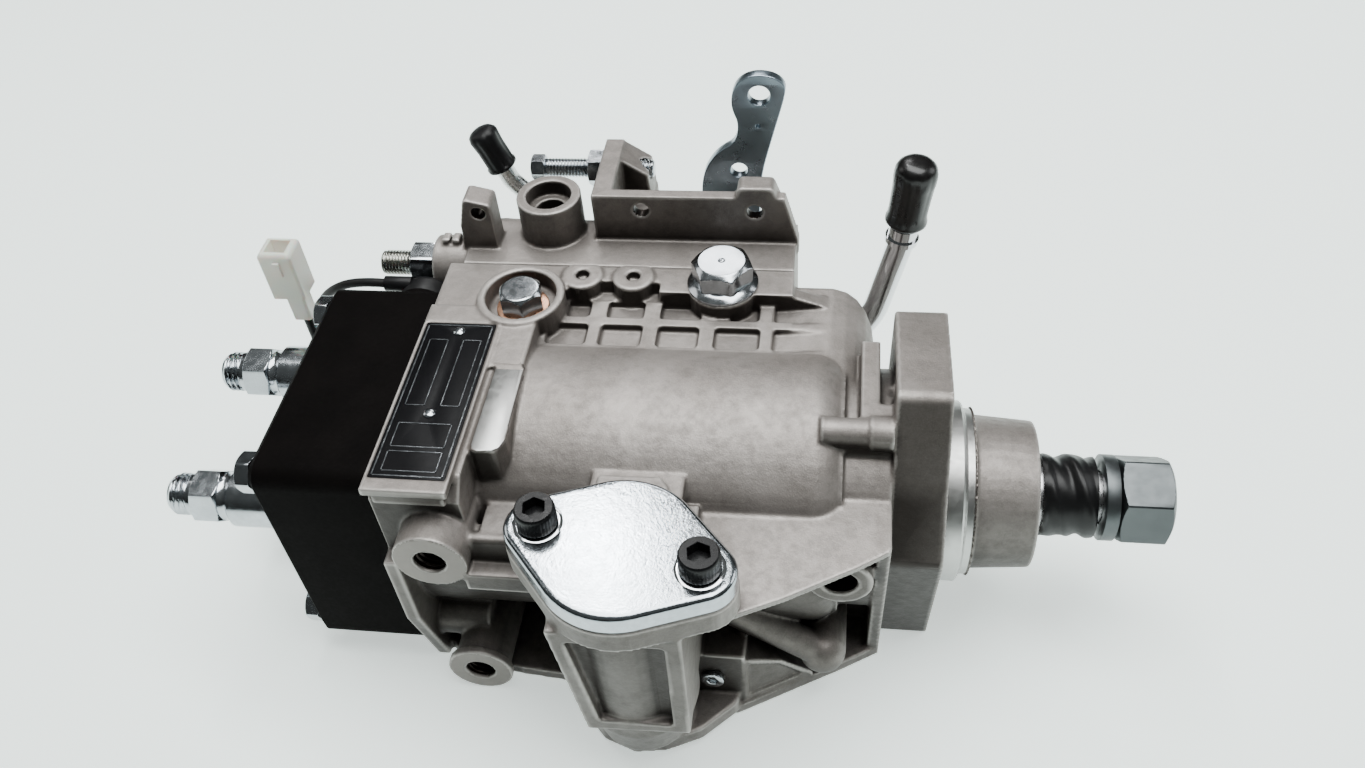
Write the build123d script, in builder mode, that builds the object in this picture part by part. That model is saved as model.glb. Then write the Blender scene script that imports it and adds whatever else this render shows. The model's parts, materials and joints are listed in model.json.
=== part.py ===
from build123d import *
import math
import os

# Distributor diesel injection pump, millimetres.
# X runs along the drive shaft towards the drive end, +Y towards the governor
# cover and control lever, +Z towards the nameplate side, on which the pump
# looks up when it lies on its side. Origin: shaft axis at the flange face.

# ---------------------------------------------------------------- dimensions
pilot_r = 25.0          # mounting pilot radius
pilot_len = 5.2
flange_t = 14.0         # mounting flange thickness
bolt_r = 37.0           # mounting bolt circle radius
bolt_hole_r = 4.5
nose_len = 24.7         # front nose behind the drive
floor_z = -46.0         # lowest level that the pump rests on
barrel_r = 38.0         # outside of the cam and feed pump barrel
bore_r = 34.0           # inside of the barrel
rear_x = -145.0         # joint between housing and distributor head
head_half = 37.5        # half width of the distributor head
head_x0 = -178.0        # outer face of the head
cover_joint_y = 47.0    # joint between housing and governor cover
cover_top_y = 72.0
side_z = 38.0           # flat side of the governor section at the joint
grid_z = 33.8           # ribbed flat between the barrel and the joint
neck_r = 33.0           # neck between barrel and flange
shelf_z = 23.0          # machined shelf on both sides of the timer
shaft_r = 10.0
gov_y = 45.75           # governor axis height over the shaft axis
gear_m = 1.5
gear_z1 = 38            # drive gear teeth
gear_z2 = 23            # governor gear teeth
timer_x = -78.0
timer_y = -53.0
timer_bore_r = 11.0
cover_z = 33.5          # underside of the timer cover plate
lever_x = -58.0         # control shaft axis
lever_z = 20.0
valve_r = 25.4          # circle of the three outlets
valve_pos = [(valve_r * math.cos(math.radians(a)), valve_r * math.sin(math.radians(a))) for a in (36.5, 156.5, 276.5)]
head_bolt_pos = [(30.5, 30.5), (-30.5, 30.5), (-30.5, -30.5), (30.5, -30.5)]
cover_bolt_pos = [(-133.0, 30.0), (-133.0, -30.0), (-50.5, 30.0), (-50.5, -30.0)]
timer_bolt_pos = [(-98.0, -47.9), (-58.0, -58.1)]

os.makedirs("parts", exist_ok=True)


# ------------------------------------------------------------------- helpers
def cx(x0, x1, y, z, r, mode=Mode.ADD):
    """Round bar along X from x0 to x1."""
    with BuildSketch(Plane.YZ.offset(x0)) as sk:
        with Locations((y, z)):
            Circle(r)
    extrude(sk.sketch, amount=x1 - x0, mode=mode)


def cy(y0, y1, x, z, r, mode=Mode.ADD):
    """Round bar along Y from y0 to y1."""
    with BuildSketch(Plane.XZ.offset(-y1)) as sk:
        with Locations((x, z)):
            Circle(r)
    extrude(sk.sketch, amount=y1 - y0, mode=mode)


def cz(z0, z1, x, y, r, mode=Mode.ADD):
    """Round bar along Z from z0 to z1."""
    with BuildSketch(Plane.XY.offset(z0)) as sk:
        with Locations((x, y)):
            Circle(r)
    extrude(sk.sketch, amount=z1 - z0, mode=mode)


def block(x0, x1, y0, y1, z0, z1, mode=Mode.ADD):
    """Rectangular block between two corners."""
    with BuildSketch(Plane.XY.offset(z0)) as sk:
        with Locations(((x0 + x1) / 2, (y0 + y1) / 2)):
            Rectangle(x1 - x0, y1 - y0)
    extrude(sk.sketch, amount=z1 - z0, mode=mode)


def prism_x(x0, x1, pts, mode=Mode.ADD, r=0.0):
    """Polygon of (y, z) points extruded from x0 to x1."""
    with BuildSketch(Plane.YZ.offset(x0)) as sk:
        with BuildLine():
            Polyline(*pts, close=True)
        make_face()
        if r:
            fillet(sk.vertices(), radius=r)
    extrude(sk.sketch, amount=x1 - x0, mode=mode)


def prism_y(y0, y1, pts, mode=Mode.ADD, r=0.0):
    """Polygon of (x, z) points extruded from y0 to y1."""
    with BuildSketch(Plane.XZ.offset(-y1)) as sk:
        with BuildLine():
            Polyline(*pts, close=True)
        make_face()
        if r:
            fillet(sk.vertices(), radius=r)
    extrude(sk.sketch, amount=y1 - y0, mode=mode)


def prism_z(z0, z1, pts, mode=Mode.ADD, r=0.0):
    """Polygon of (x, y) points extruded from z0 to z1."""
    with BuildSketch(Plane.XY.offset(z0)) as sk:
        with BuildLine():
            Polyline(*pts, close=True)
        make_face()
        if r:
            fillet(sk.vertices(), radius=r)
    extrude(sk.sketch, amount=z1 - z0, mode=mode)


def hex_x(x0, x1, y, z, af, rot=0.0, mode=Mode.ADD):
    """Hexagon bar along X, af across flats, with chamfer-like round limits."""
    with BuildSketch(Plane.YZ.offset(x0)) as sk:
        with Locations((y, z)):
            RegularPolygon(af / math.sqrt(3), 6, rotation=rot)
            Circle(af * 0.56, mode=Mode.INTERSECT)
    extrude(sk.sketch, amount=x1 - x0, mode=mode)


def hex_y(y0, y1, x, z, af, rot=0.0, mode=Mode.ADD):
    """Hexagon bar along Y."""
    with BuildSketch(Plane.XZ.offset(-y1)) as sk:
        with Locations((x, z)):
            RegularPolygon(af / math.sqrt(3), 6, rotation=rot)
            Circle(af * 0.56, mode=Mode.INTERSECT)
    extrude(sk.sketch, amount=y1 - y0, mode=mode)


def hex_z(z0, z1, x, y, af, rot=0.0, mode=Mode.ADD):
    """Hexagon bar along Z."""
    with BuildSketch(Plane.XY.offset(z0)) as sk:
        with Locations((x, y)):
            RegularPolygon(af / math.sqrt(3), 6, rotation=rot)
            Circle(af * 0.56, mode=Mode.INTERSECT)
    extrude(sk.sketch, amount=z1 - z0, mode=mode)


def rhombus_outline(z0, z1, grow, mode=Mode.ADD):
    """Outline of the timer cover: one large and two small discs, hulled."""
    with BuildSketch(Plane.XY.offset(z0)) as sk:
        with Locations((timer_x, timer_y)):
            Circle(20.3 + grow)
        with Locations(*timer_bolt_pos):
            Circle(8.6 + grow)
        make_hull()
    extrude(sk.sketch, amount=z1 - z0, mode=mode)


def involute_points(z, m, thin, phase, cy0, cz0):
    """Closed outline of a spur gear in the YZ plane, thinned for backlash."""
    rp = m * z / 2
    rb = rp * math.cos(math.radians(20))
    ra = rp + 0.92 * m
    rf = rp - 1.2 * m
    inv = lambda a: math.tan(a) - a
    half = math.pi / (2 * z) - thin / (2 * rp) + inv(math.radians(20))
    pts = []
    for k in range(z):
        c = phase + 2 * math.pi * k / z
        flank = []
        n = 5
        r0 = max(rb, rf + 0.2)
        for i in range(n + 1):
            r = r0 + (ra - r0) * i / n
            a = math.acos(min(1.0, rb / r))
            flank.append((r, half - inv(a)))
        gap = math.pi / z
        pts.append((rf, c - gap * 0.93))
        pts.append((rf, c - half * 1.0))
        for r, a in flank:
            pts.append((r, c - a))
        for r, a in reversed(flank):
            pts.append((r, c + a))
        pts.append((rf, c + half * 1.0))
        pts.append((rf, c + gap * 0.93))
    out = []
    for r, a in pts:
        p = (cy0 + r * math.cos(a), cz0 + r * math.sin(a))
        if not out or math.dist(out[-1], p) > 0.02:
            out.append(p)
    return out


def spring_solid(start, direction, radius, wire, length, turns):
    """Helical compression spring whose axis leaves start along direction."""
    with BuildPart() as sp:
        with BuildLine() as path:
            Helix(pitch=length / turns, height=length, radius=radius)
        with BuildSketch(Plane(origin=path.line @ 0, z_dir=path.line % 0)):
            Circle(wire)
        sweep(is_frenet=True)
    return Plane(origin=start, z_dir=direction).location * sp.part


# =================================================================== housing
# barrel with its rounded front end
with BuildPart() as barrel:
    cx(rear_x, -25.0, 0, 0, barrel_r)
    fillet(barrel.faces().sort_by(Axis.X)[-1].edges(), radius=9.5)

# front shoulder: sections that shrink towards the flange
shoulder_outline = [(0, 33), (20, 33.8), (45, 33.6), (52, 25.5), (60, 16), (60, -16), (52, -25.5), (45, -33.6), (20, -33.8), (0, -33)]
shoulder_steps = [(-42.0, 1.0), (-31.0, 1.0), (-27.0, 0.982), (-24.0, 0.945), (-21.5, 0.885), (-19.6, 0.80), (-18.7, 0.70)]
with BuildPart() as shoulder:
    for (xa, ka), (xb, kb) in zip(shoulder_steps, shoulder_steps[1:]):
        with BuildSketch(Plane.YZ.offset(xa)):
            with BuildLine():
                Polyline(*[(y * ka, z * ka) for y, z in shoulder_outline], close=True)
            make_face()
        with BuildSketch(Plane.YZ.offset(xb)):
            with BuildLine():
                Polyline(*[(y * kb, z * kb) for y, z in shoulder_outline], close=True)
            make_face()
        loft()

with BuildPart() as pump_housing:
    add(barrel.part)
    # neck between barrel and flange
    cx(-44, -flange_t, 0, 0, neck_r)
    # square rear end that carries the nameplate and the head
    prism_x(rear_x, -121, [(-39, 8), (-39, 33), (-34, 38), (47, 38), (47, -38), (-20, -38), (-20, 8)])
    # governor section, open towards the governor cover, with a lip along the joint
    prism_x(rear_x, -42, [(0, grid_z), (36.4, grid_z), (36.4, 38), (47, 38), (47, -38), (36.4, -38), (36.4, -grid_z), (0, -grid_z)])
    add(shoulder.part)
    # lip fading into the shoulder
    prism_y(36.4, 41, [(-42.5, 30), (-42.5, 37.4), (-32, 33.7), (-32, 30)])
    # mounting flange with pilot and nose
    prism_x(-flange_t, 0, [(28, 42), (36, 8), (31, -10), (12, -46), (-18, -46), (-31, 6), (-8, 46)], r=3.5)
    cx(0, pilot_len, 0, 0, pilot_r)
    cx(pilot_len, 8.3, 0, 0, 23.6)
    with BuildSketch(Plane.YZ.offset(8.3)):
        Circle(21.3)
    with BuildSketch(Plane.YZ.offset(nose_len)):
        Circle(20.1)
    loft()
    # nameplate frame: pad, top lip and bottom lip
    block(-145, -122.6, -41.5, 27, 37, 39.6)
    block(-143, -124, -40.5, -36, 33, 39)
    # machined pad beside the nameplate and the flat rib from it to the recess boss
    prism_z(22, 39.0, [(-120.4, 4.4), (-112.3, 4.4), (-111.7, -22.5), (-113.6, -26.4), (-120.5, -26.8)], r=1.6)
    block(-122.0, -112.8, 3.0, 24.0, 30, 39.4)
    # rear plate and lower skirt towards the timer
    prism_x(rear_x, -141, [(-39, 33), (-39, 12), (-44, 12), (-44, -14), (-36, -45.5), (20, -45.5), (20, 0), (0, 33)])
    prism_z(-45.5, -41.5, [(-145, -30), (-136, -37.5), (-118, -41), (-95, -43), (-66, -48), (-53, -48.6), (-34.3, -38), (-24.8, -32.6),
                           (-14, -26), (-14, 16), (-145, 16)])
    block(-141, -16, -16, 16, -42, -34)
    # stepped shelves left of the timer with a round bar along the upper one
    block(-117.6, -94, -41.2, -26, 17, shelf_z)
    block(-119.8, -94, -43.0, -36, 12, 21.4)
    cx(-119.8, -94, -41.2, 21.4, 1.8)
    block(-121.5, -94, -48.0, -34, 8.6, 15.0)
    # two bracket bosses facing -Y
    cy(-48, -20, -129.3, 19.6, 9.75)
    cy(-46, -20, -127.5, -36.2, 8.0)
    cy(-46, -43.6, -127.5, -36.2, 9.4)
    # boss around the lower front head bolt
    cx(rear_x, -125.5, -30.5, -30.5, 6.2)
    # timer housing
    prism_y(-69.5, -30, [(-94.5, 25.9), (-62.0, 25.9), (-62.5, -18.6), (-89.6, -20.0)])
    cz(-25, -16, timer_x, timer_y, 15.6)
    with BuildSketch(Plane.XY.offset(-25)):
        with Locations((timer_x, timer_y)):
            Circle(15.6)
    with BuildSketch(Plane.XY.offset(-37)):
        with Locations((timer_x, timer_y)):
            Circle(13.2)
    loft()
    rhombus_outline(25.9, 33.2, 0.2)
    prism_z(shelf_z, 33.2, [(-87.8, -45), (-87.8, -27.4), (-71.5, -27.0), (-69.4, -30.5), (-69.4, -45)], r=1.0)
    # bowl-shaped foot under the timer
    prism_z(-42.5, -37.0, [(-98, -42), (-96.5, -53), (-89, -61), (-80, -64.2), (-71.5, -63), (-62, -58.5), (-52.6, -49.5),
                           (-52.6, -38), (-98, -38)], r=3.0)
    prism_z(-45.6, -42.4, [(-95, -42), (-93.5, -52), (-87, -59), (-79.5, -61.6), (-71.5, -60.6), (-63, -56.5), (-54.5, -48.5),
                           (-54.5, -38), (-95, -38)], r=3.0)
    # recess of the block's front face between its corner ribs
    prism_y(-72, -66.4, [(-90.2, 21.4), (-66.3, 21.4), (-66.8, -15.2), (-86.0, -15.2)], mode=Mode.SUBTRACT)
    with BuildSketch(Plane.XY.offset(-19)):
        with Locations((timer_x, timer_y)):
            Circle(15.6)
    extrude(amount=42)
    # shelf right of the timer and the web behind the flange
    prism_z(shelf_z - 1.9, shelf_z, [(-64, -26), (-64, -65), (-58.5, -63.2), (-50.5, -59.6), (-39.3, -54.2), (-22.0, -44.1),
                                     (-14.3, -39.0), (-14.3, -33.0), (-17.2, -31.1), (-14.0, -28.0), (-14.0, -10)])
    prism_x(-17.4, -14, [(-38.4, shelf_z), (-37.4, 18), (-26.5, -41.5), (-24, -45.5), (0, -45.5), (0, shelf_z)])
    # wall with the sealing plug next to the timer, and the wall that follows the skirt's edge
    block(-64, -50.6, -46.5, -30, -45.5, -18.5)
    with BuildSketch(Plane(origin=(-51.2, -46.3, 0), x_dir=(0.894, 0.447, 0), z_dir=(0.447, -0.894, 0))):
        with BuildLine():
            Polyline((0, -20.5), (6, -24), (11.5, -27.5), (21, -40), (21, -45.5), (0, -45.5), close=True)
        make_face()
    extrude(amount=-8)
    with BuildSketch(Plane(origin=(-51.2, -46.3, 0), x_dir=(0.894, 0.447, 0), z_dir=(0.447, -0.894, 0))):
        with BuildLine():
            Polyline((1.4, -23.5), (6, -26), (10.8, -29), (18, -38.6), (1.4, -40), close=True)
        make_face()
    extrude(amount=-0.9, mode=Mode.SUBTRACT)
    # ring boss, dome and oil gallery in the open side
    cy(-39.5, -24, -26.2, 8.8, 8.5)
    cy(-36.0, -18, -30.0, -28.5, 6.5)
    with Locations((-30.0, -36.0, -28.5)):
        Sphere(6.5)
    with BuildSketch(Plane(origin=(-58, -36.0, -8.5), z_dir=(28, -1.0, -19.5))):
        Circle(4.4)
    extrude(amount=33)
    # foot on the hidden side
    cz(floor_z, -36, -133, 28, 8)
    # bar and rib near the flange
    cx(-32.6, -flange_t, -11.5, 35.0, 3.8)
    cx(-20.0, -flange_t, -11.5, 35.0, 4.4)
    block(-33, -flange_t, -14.6, -8.6, 26, 35.0)
    block(-22.6, -17.6, -11.5, 20, 28, 37.2)
    block(-18.0, -flange_t, -11.5, -3.0, 28, 37.2)
    # rib grid: pockets between ribs on the visible side
    row_a, row_b = (18.6, 26.7), (29.8, 36.4)
    for x0, x1 in [(-111.0, -99.6), (-95.8, -83.8), (-79.5, -67.7), (-63.4, -50.6)]:
        prism_z(grid_z - 2.1, grid_z + 1, [(x0, row_a[0]), (x1, row_a[0]), (x1, row_a[1]), (x0, row_a[1])], mode=Mode.SUBTRACT, r=1.0)
    for x0, x1 in [(-106.8, -100.2), (-95.0, -84.3), (-79.5, -67.7), (-63.4, -51.4)]:
        prism_z(grid_z - 2.1, grid_z + 1, [(x0, row_b[0]), (x1, row_b[0]), (x1, row_b[1]), (x0, row_b[1])], mode=Mode.SUBTRACT, r=1.0)
    for y0, y1 in (row_a, row_b):
        prism_y(y0, y1, [(-46.9, grid_z - 2.1), (-46.9, grid_z + 0.6), (-32.4, grid_z + 0.6), (-32.4, grid_z - 0.1)],
                mode=Mode.SUBTRACT)
    # the lip stands back between the two small bosses
    block(-107.0, -80.4, 36.4, 40.4, grid_z - 0.1, 39, mode=Mode.SUBTRACT)
    # plain pockets on the hidden side
    for x0, x1 in [(-118, -96), (-92, -70), (-66, -46)]:
        block(x0, x1, 20, 34, -36, -grid_z + 2.0, mode=Mode.SUBTRACT)
    # bosses on the visible side
    cz(30, 40.3, -119.5, 31.5, 12.6)
    cz(29, 38.0, -62.3, 40.9, 10.3)
    cz(31, 38.9, -103.6, 42.4, 6.1)
    cz(31, 38.9, -88.5, 42.2, 6.1)
    block(-140, -40, 46.9, 60, 25, 40, mode=Mode.SUBTRACT)
    # ---- inside
    cx(rear_x, -42.3, 0, 0, bore_r, mode=Mode.SUBTRACT)
    cx(-42.3, -26, 0, 0, 30.5, mode=Mode.SUBTRACT)
    cx(-26, 16, 0, 0, 12.5, mode=Mode.SUBTRACT)
    cx(16, nose_len, 0, 0, 14.5, mode=Mode.SUBTRACT)
    block(-125, -42.3, 0, cover_joint_y, -29.5, 29.5, mode=Mode.SUBTRACT)
    block(-137, -125, 0, cover_joint_y, -22, 22, mode=Mode.SUBTRACT)
    # bosses that take the governor cover screws
    for x, z in cover_bolt_pos[2:]:
        cy(36.6, cover_joint_y, x, z, 6.6)
    # inner bosses for the governor lever's pivot
    cz(27.8, 31.6, -106, 26, 4.4)
    cz(-31.6, -27.8, -106, 26, 4.4)
    for x, z in cover_bolt_pos:
        cy(38, cover_joint_y, x, z, 3.05, mode=Mode.SUBTRACT)
    # inner boss of the flanged plug and of the recess bolt
    cz(27, 34, -119.5, 31.5, 7)
    cx(-42.4, -33.2, gov_y, 0, 4.02, mode=Mode.SUBTRACT)
    # holes for the bolts and plugs
    cz(34.6, 41, -119.5, 31.5, 10.3, mode=Mode.SUBTRACT)
    cz(27, 35, -119.5, 31.5, 4.05, mode=Mode.SUBTRACT)
    cz(27, 41, -62.3, 40.9, 5.05, mode=Mode.SUBTRACT)
    cz(36.4, 41, -103.6, 42.4, 2.0, mode=Mode.SUBTRACT)
    cz(36.4, 41, -88.5, 42.2, 2.0, mode=Mode.SUBTRACT)
    block(-144.1, -123.6, -37.3, 19.5, 38.7, 41, mode=Mode.SUBTRACT)
    cz(33, 40, -133.8, 16.0, 1.05, mode=Mode.SUBTRACT)
    cz(35.4, 40, -133.8, -15.0, 1.05, mode=Mode.SUBTRACT)
    cy(-49, -34.6, -129.3, 19.6, 4.25, mode=Mode.SUBTRACT)
    cy(-47, -32, -127.5, -36.2, 4.25, mode=Mode.SUBTRACT)
    cy(-40, -32.5, -26.2, 8.8, 4.5, mode=Mode.SUBTRACT)
    cy(-47, -39, -59.6, -29, 2.55, mode=Mode.SUBTRACT)
    for y, z in [(6, 36.5), (-6, -36.5)]:
        cx(-flange_t - 1, 1, y, z, bolt_hole_r, mode=Mode.SUBTRACT)
    # clearance behind the lower flange bolt
    cx(-40, -flange_t, -6, -38.5, 7.4, mode=Mode.SUBTRACT)
    for y, z in head_bolt_pos:
        cx(rear_x, -127, y, z, 3.05, mode=Mode.SUBTRACT)
    # timer bore, screw holes and the slot for the timer pin
    cz(-37.5, 34, timer_x, timer_y, timer_bore_r, mode=Mode.SUBTRACT)
    cz(-46, -37.0, timer_x, timer_y, 8.8, mode=Mode.SUBTRACT)
    for x, y in timer_bolt_pos:
        cz(26.5, 34, x, y, 3.05, mode=Mode.SUBTRACT)
    block(-83, -73, -44, -32.5, -5, 11, mode=Mode.SUBTRACT)
    # pivot of the governor lever
    cz(-30.9, 30.9, -106, 26, 2.06, mode=Mode.SUBTRACT)
    # inlet pipe seat
    with BuildSketch(Plane(origin=(-28.75, 52, 0.9), z_dir=(10.2, 0, 18))):
        Circle(3.8)
    extrude(amount=26, mode=Mode.SUBTRACT)
pump_housing.part.label = "pump_housing"
export_step(pump_housing.part, "parts/pump_housing.step")

# ============================================================ governor cover
with BuildPart() as governor_cover:
    block(-141, -42.3, 47.2, cover_top_y, -38, 38)
    fillet(governor_cover.edges().filter_by(Axis.X).group_by(Axis.Y)[-1], radius=5)
    block(-137, -46.5, 47.2, 68.8, -33.5, 33.5, mode=Mode.SUBTRACT)
    for x, z in cover_bolt_pos:
        cy(47.2, 70, x, z, 7.4)
    # control shaft boss and the boss that carries the full-load screw
    cy(69, 80, lever_x, lever_z, 8.2)
    cx(-152.5, -137, 57, 29, 9.0)
    # lug with a hole
    prism_y(54, 62, [(-142.5, 36), (-131.5, 36), (-131.5, 54), (-139.5, 56), (-142, 46)], r=1.2)
    # counterbored boss
    cz(30, 51, -116.3, 64, 9.7)
    # bracket wall with a raised end
    prism_y(59.5, 63.2, [(-102.5, 34), (-41.5, 34), (-41.5, 39), (-45.5, 54), (-102.5, 54)])
    prism_y(59.5, 66.0, [(-61, 48), (-45.6, 48), (-49.0, 57.4), (-59.0, 57.4)], r=1.6)
    # tab that holds the stop screw, and its gusset
    prism_x(-102.5, -96.5, [(60, 34), (89, 30), (89, 54), (60, 54)])
    prism_y(78.5, 89, [(-96.6, 34), (-87.5, 34), (-88.5, 48), (-96.6, 53.5)])
    prism_x(-102.5, -87.5, [(66, 22), (89, 30), (89, 38), (66, 37)])
    # tab that holds the idle screw
    prism_x(-85.5, -79.5, [(70, -8), (89, -1.5), (89, 10.5), (70, 14)])
    # overflow pipe boss and sealing ear
    cy(70, 75.5, -121.0, 27, 6.2)
    block(-149.5, -144.0, 55.0, 59.0, 35, 40.0)
    # rounded hump over the governor
    cy(70, 75, -88, -12, 15)
    # ---- inside
    cy(60, 81, lever_x, lever_z, 5.06, mode=Mode.SUBTRACT)
    block(-137, -46.5, 47.2, 68.8, -20.5, 20.5, mode=Mode.SUBTRACT)
    cx(-48, -42, gov_y, 0, 4.4, mode=Mode.SUBTRACT)
    cx(-156, -139.6, 57, 29, 3.95, mode=Mode.SUBTRACT)
    cy(66, 76, -121.0, 27, 3.06, mode=Mode.SUBTRACT)
    cz(46, 52, -116.3, 64, 6.8, mode=Mode.SUBTRACT)
    cz(30, 52, -116.3, 64, 4.4, mode=Mode.SUBTRACT)
    cy(53, 63, -135.6, 51, 2.1, mode=Mode.SUBTRACT)
    for x, z in [(-87.8, 49.1), (-54.4, 49.1)]:
        cy(59, 67, x, z, 2.3, mode=Mode.SUBTRACT)
    cx(-103, -87, 84, 46.5, 3.05, mode=Mode.SUBTRACT)
    cx(-86, -79, 84, 4.5, 3.05, mode=Mode.SUBTRACT)
    cy(54, 60, -146.8, 38.9, 0.8, mode=Mode.SUBTRACT)
    for x, z in cover_bolt_pos:
        cy(53, 73, x, z, 5.4, mode=Mode.SUBTRACT)
        cy(47, 73, x, z, 3.3, mode=Mode.SUBTRACT)
governor_cover.part.label = "governor_cover"
export_step(governor_cover.part, "parts/governor_cover.step")

# =============================================================== fastenings
with BuildPart() as socket_screws:
    for x, z in cover_bolt_pos:
        cy(53.1, 59.1, x, z, 5.0)
        cy(41.1, 53.2, x, z, 3.0)
        hex_y(56.1, 60, x, z, 5.0, mode=Mode.SUBTRACT)
    for x, y in timer_bolt_pos:
        cz(39.1, 45.1, x, y, 5.0)
        cz(27.1, 39.2, x, y, 3.0)
        hex_z(42.1, 46, x, y, 5.0, mode=Mode.SUBTRACT)
socket_screws.part.label = "socket_screws"
export_step(socket_screws.part, "parts/socket_screws.step")

with BuildPart() as head_bolts:
    for y, z in head_bolt_pos:
        hex_x(-182.6, -178.1, y, z, 10.0)
        cx(-178.2, -130, y, z, 3.0)
head_bolts.part.label = "head_bolts"
export_step(head_bolts.part, "parts/head_bolts.step")

# ========================================================== distributor head
with BuildPart() as distributor_head:
    with BuildSketch(Plane.YZ.offset(head_x0)):
        RectangleRounded(2 * head_half, 2 * head_half, 5.5)
    extrude(amount=32.8)
    chamfer(distributor_head.faces().sort_by(Axis.X)[0].edges(), length=1.8)
    cx(-145.3, -137, 0, 0, 33.8)
    cy(30, 40.6, -154.2, 24, 9.0)
    # plunger bore and plug bore
    cx(-179, -136, 0, 0, 5.04, mode=Mode.SUBTRACT)
    cx(-179, -166, 0, 0, 8.1, mode=Mode.SUBTRACT)
    # delivery valve bores and their ducts
    for y, z in valve_pos:
        cx(-179, -160.5, y, z, 8.5, mode=Mode.SUBTRACT)
        n = math.hypot(y, z)
        with BuildSketch(Plane(origin=(-161.7, 3 * y / n, 3 * z / n), z_dir=(0, y, z))):
            Circle(1.2)
        extrude(amount=n - 6, mode=Mode.SUBTRACT)
    for y, z in head_bolt_pos:
        cx(-179, -145, y, z, 3.3, mode=Mode.SUBTRACT)
    # solenoid seat
    cy(34, 41, -154.2, 24, 4.5, mode=Mode.SUBTRACT)
    cy(26, 35, -154.2, 24, 2.7, mode=Mode.SUBTRACT)
    cy(3, 28, -154.2, 24, 1.2, mode=Mode.SUBTRACT)
distributor_head.part.label = "distributor_head"
export_step(distributor_head.part, "parts/distributor_head.step")

with BuildPart() as head_centre_plug:
    hex_x(-181.6, -178.1, 0, 0, 19.0)
    cx(-182.8, -181.5, 0, 0, 5.0)
    cx(-178.2, -174.8, 0, 0, 8.0)
head_centre_plug.part.label = "head_centre_plug"
export_step(head_centre_plug.part, "parts/head_centre_plug.step")

with BuildPart() as delivery_valve_holders:
    for y, z in valve_pos:
        cx(-194.2, -160.7, y, z, 8.4)
        cx(-197.1, -194.1, y, z, 6.7)
        hex_x(-205.4, -197.0, y, z, 14.0, rot=math.degrees(math.atan2(z, y)) + 12)
        cx(-206.9, -205.3, y, z, 6.5)
        cx(-212.8, -206.8, y, z, 6.0)
        cx(-214, -189, y, z, 1.6, mode=Mode.SUBTRACT)
        cx(-190, -160, y, z, 5.1, mode=Mode.SUBTRACT)
        with BuildSketch(Plane.YZ.offset(-212.8)):
            with Locations((y, z)):
                Circle(4.3)
        extrude(amount=2.6, taper=32, mode=Mode.SUBTRACT)
delivery_valve_holders.part.label = "delivery_valve_holders"
export_step(delivery_valve_holders.part, "parts/delivery_valve_holders.step")

with BuildPart() as delivery_valves:
    for y, z in valve_pos:
        cx(-164.2, -160.8, y, z, 4.95)
        cx(-171.0, -164.1, y, z, 2.3)
delivery_valves.part.label = "delivery_valves"
export_step(delivery_valves.part, "parts/delivery_valves.step")

valve_coils = [spring_solid((-189.2, y, z), (1, 0, 0), 3.6, 0.5, 24.2, 8) for y, z in valve_pos]
with BuildPart() as delivery_valve_springs:
    for coil in valve_coils:
        add(coil)
delivery_valve_springs.part.label = "delivery_valve_springs"
export_step(delivery_valve_springs.part, "parts/delivery_valve_springs.step")

# ==================================================================== timer
with BuildPart() as timer_cover:
    rhombus_outline(cover_z, 39.0, 0.0)
    fillet(timer_cover.faces().sort_by(Axis.Z)[-1].edges(), radius=1.6)
    for x, y in timer_bolt_pos:
        cz(33, 40, x, y, 3.3, mode=Mode.SUBTRACT)
timer_cover.part.label = "timer_cover"
export_step(timer_cover.part, "parts/timer_cover.step")

with BuildPart() as timer_end_cap:
    cz(-36.9, -28.2, timer_x, timer_y, timer_bore_r - 0.06)
    cz(-44.0, -36.8, timer_x, timer_y, 8.6)
    fillet(timer_end_cap.faces().sort_by(Axis.Z)[0].edges(), radius=1.2)
timer_end_cap.part.label = "timer_end_cap"
export_step(timer_end_cap.part, "parts/timer_end_cap.step")

with BuildPart() as timer_piston:
    cz(-26, 12, timer_x, timer_y, timer_bore_r - 0.05)
    cz(6.6, 13, timer_x, timer_y, 7.6, mode=Mode.SUBTRACT)
    block(timer_x - 4.3, timer_x + 4.3, timer_y - 6, timer_y + 12, -6.2, 5.4, mode=Mode.SUBTRACT)
timer_piston.part.label = "timer_piston"
export_step(timer_piston.part, "parts/timer_piston.step")

with BuildPart() as timer_pin:
    cy(-57.0, -27.0, timer_x, 0, 3.9)
timer_pin.part.label = "timer_pin"
export_step(timer_pin.part, "parts/timer_pin.step")

timer_coil = spring_solid((timer_x, timer_y, 7.9), (0, 0, 1), 6.2, 1.0, 24.3, 6)
with BuildPart() as timer_spring:
    add(timer_coil)
timer_spring.part.label = "timer_spring"
export_step(timer_spring.part, "parts/timer_spring.step")

# ==================================================== nameplate, plugs, bolts
with BuildPart() as nameplate:
    block(-143.9, -123.8, -37.1, 19.3, 38.75, 39.4)
    cz(38, 40, -133.8, 16.0, 1.15, mode=Mode.SUBTRACT)
    cz(38, 40, -133.8, -15.0, 1.15, mode=Mode.SUBTRACT)
nameplate.part.label = "nameplate"
export_step(nameplate.part, "parts/nameplate.step")

with BuildPart() as nameplate_rivets:
    for y in (16.0, -15.0):
        cz(39.45, 40.1, -133.8, y, 1.7)
        cz(36.2, 39.5, -133.8, y, 1.0)
nameplate_rivets.part.label = "nameplate_rivets"
export_step(nameplate_rivets.part, "parts/nameplate_rivets.step")

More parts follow.
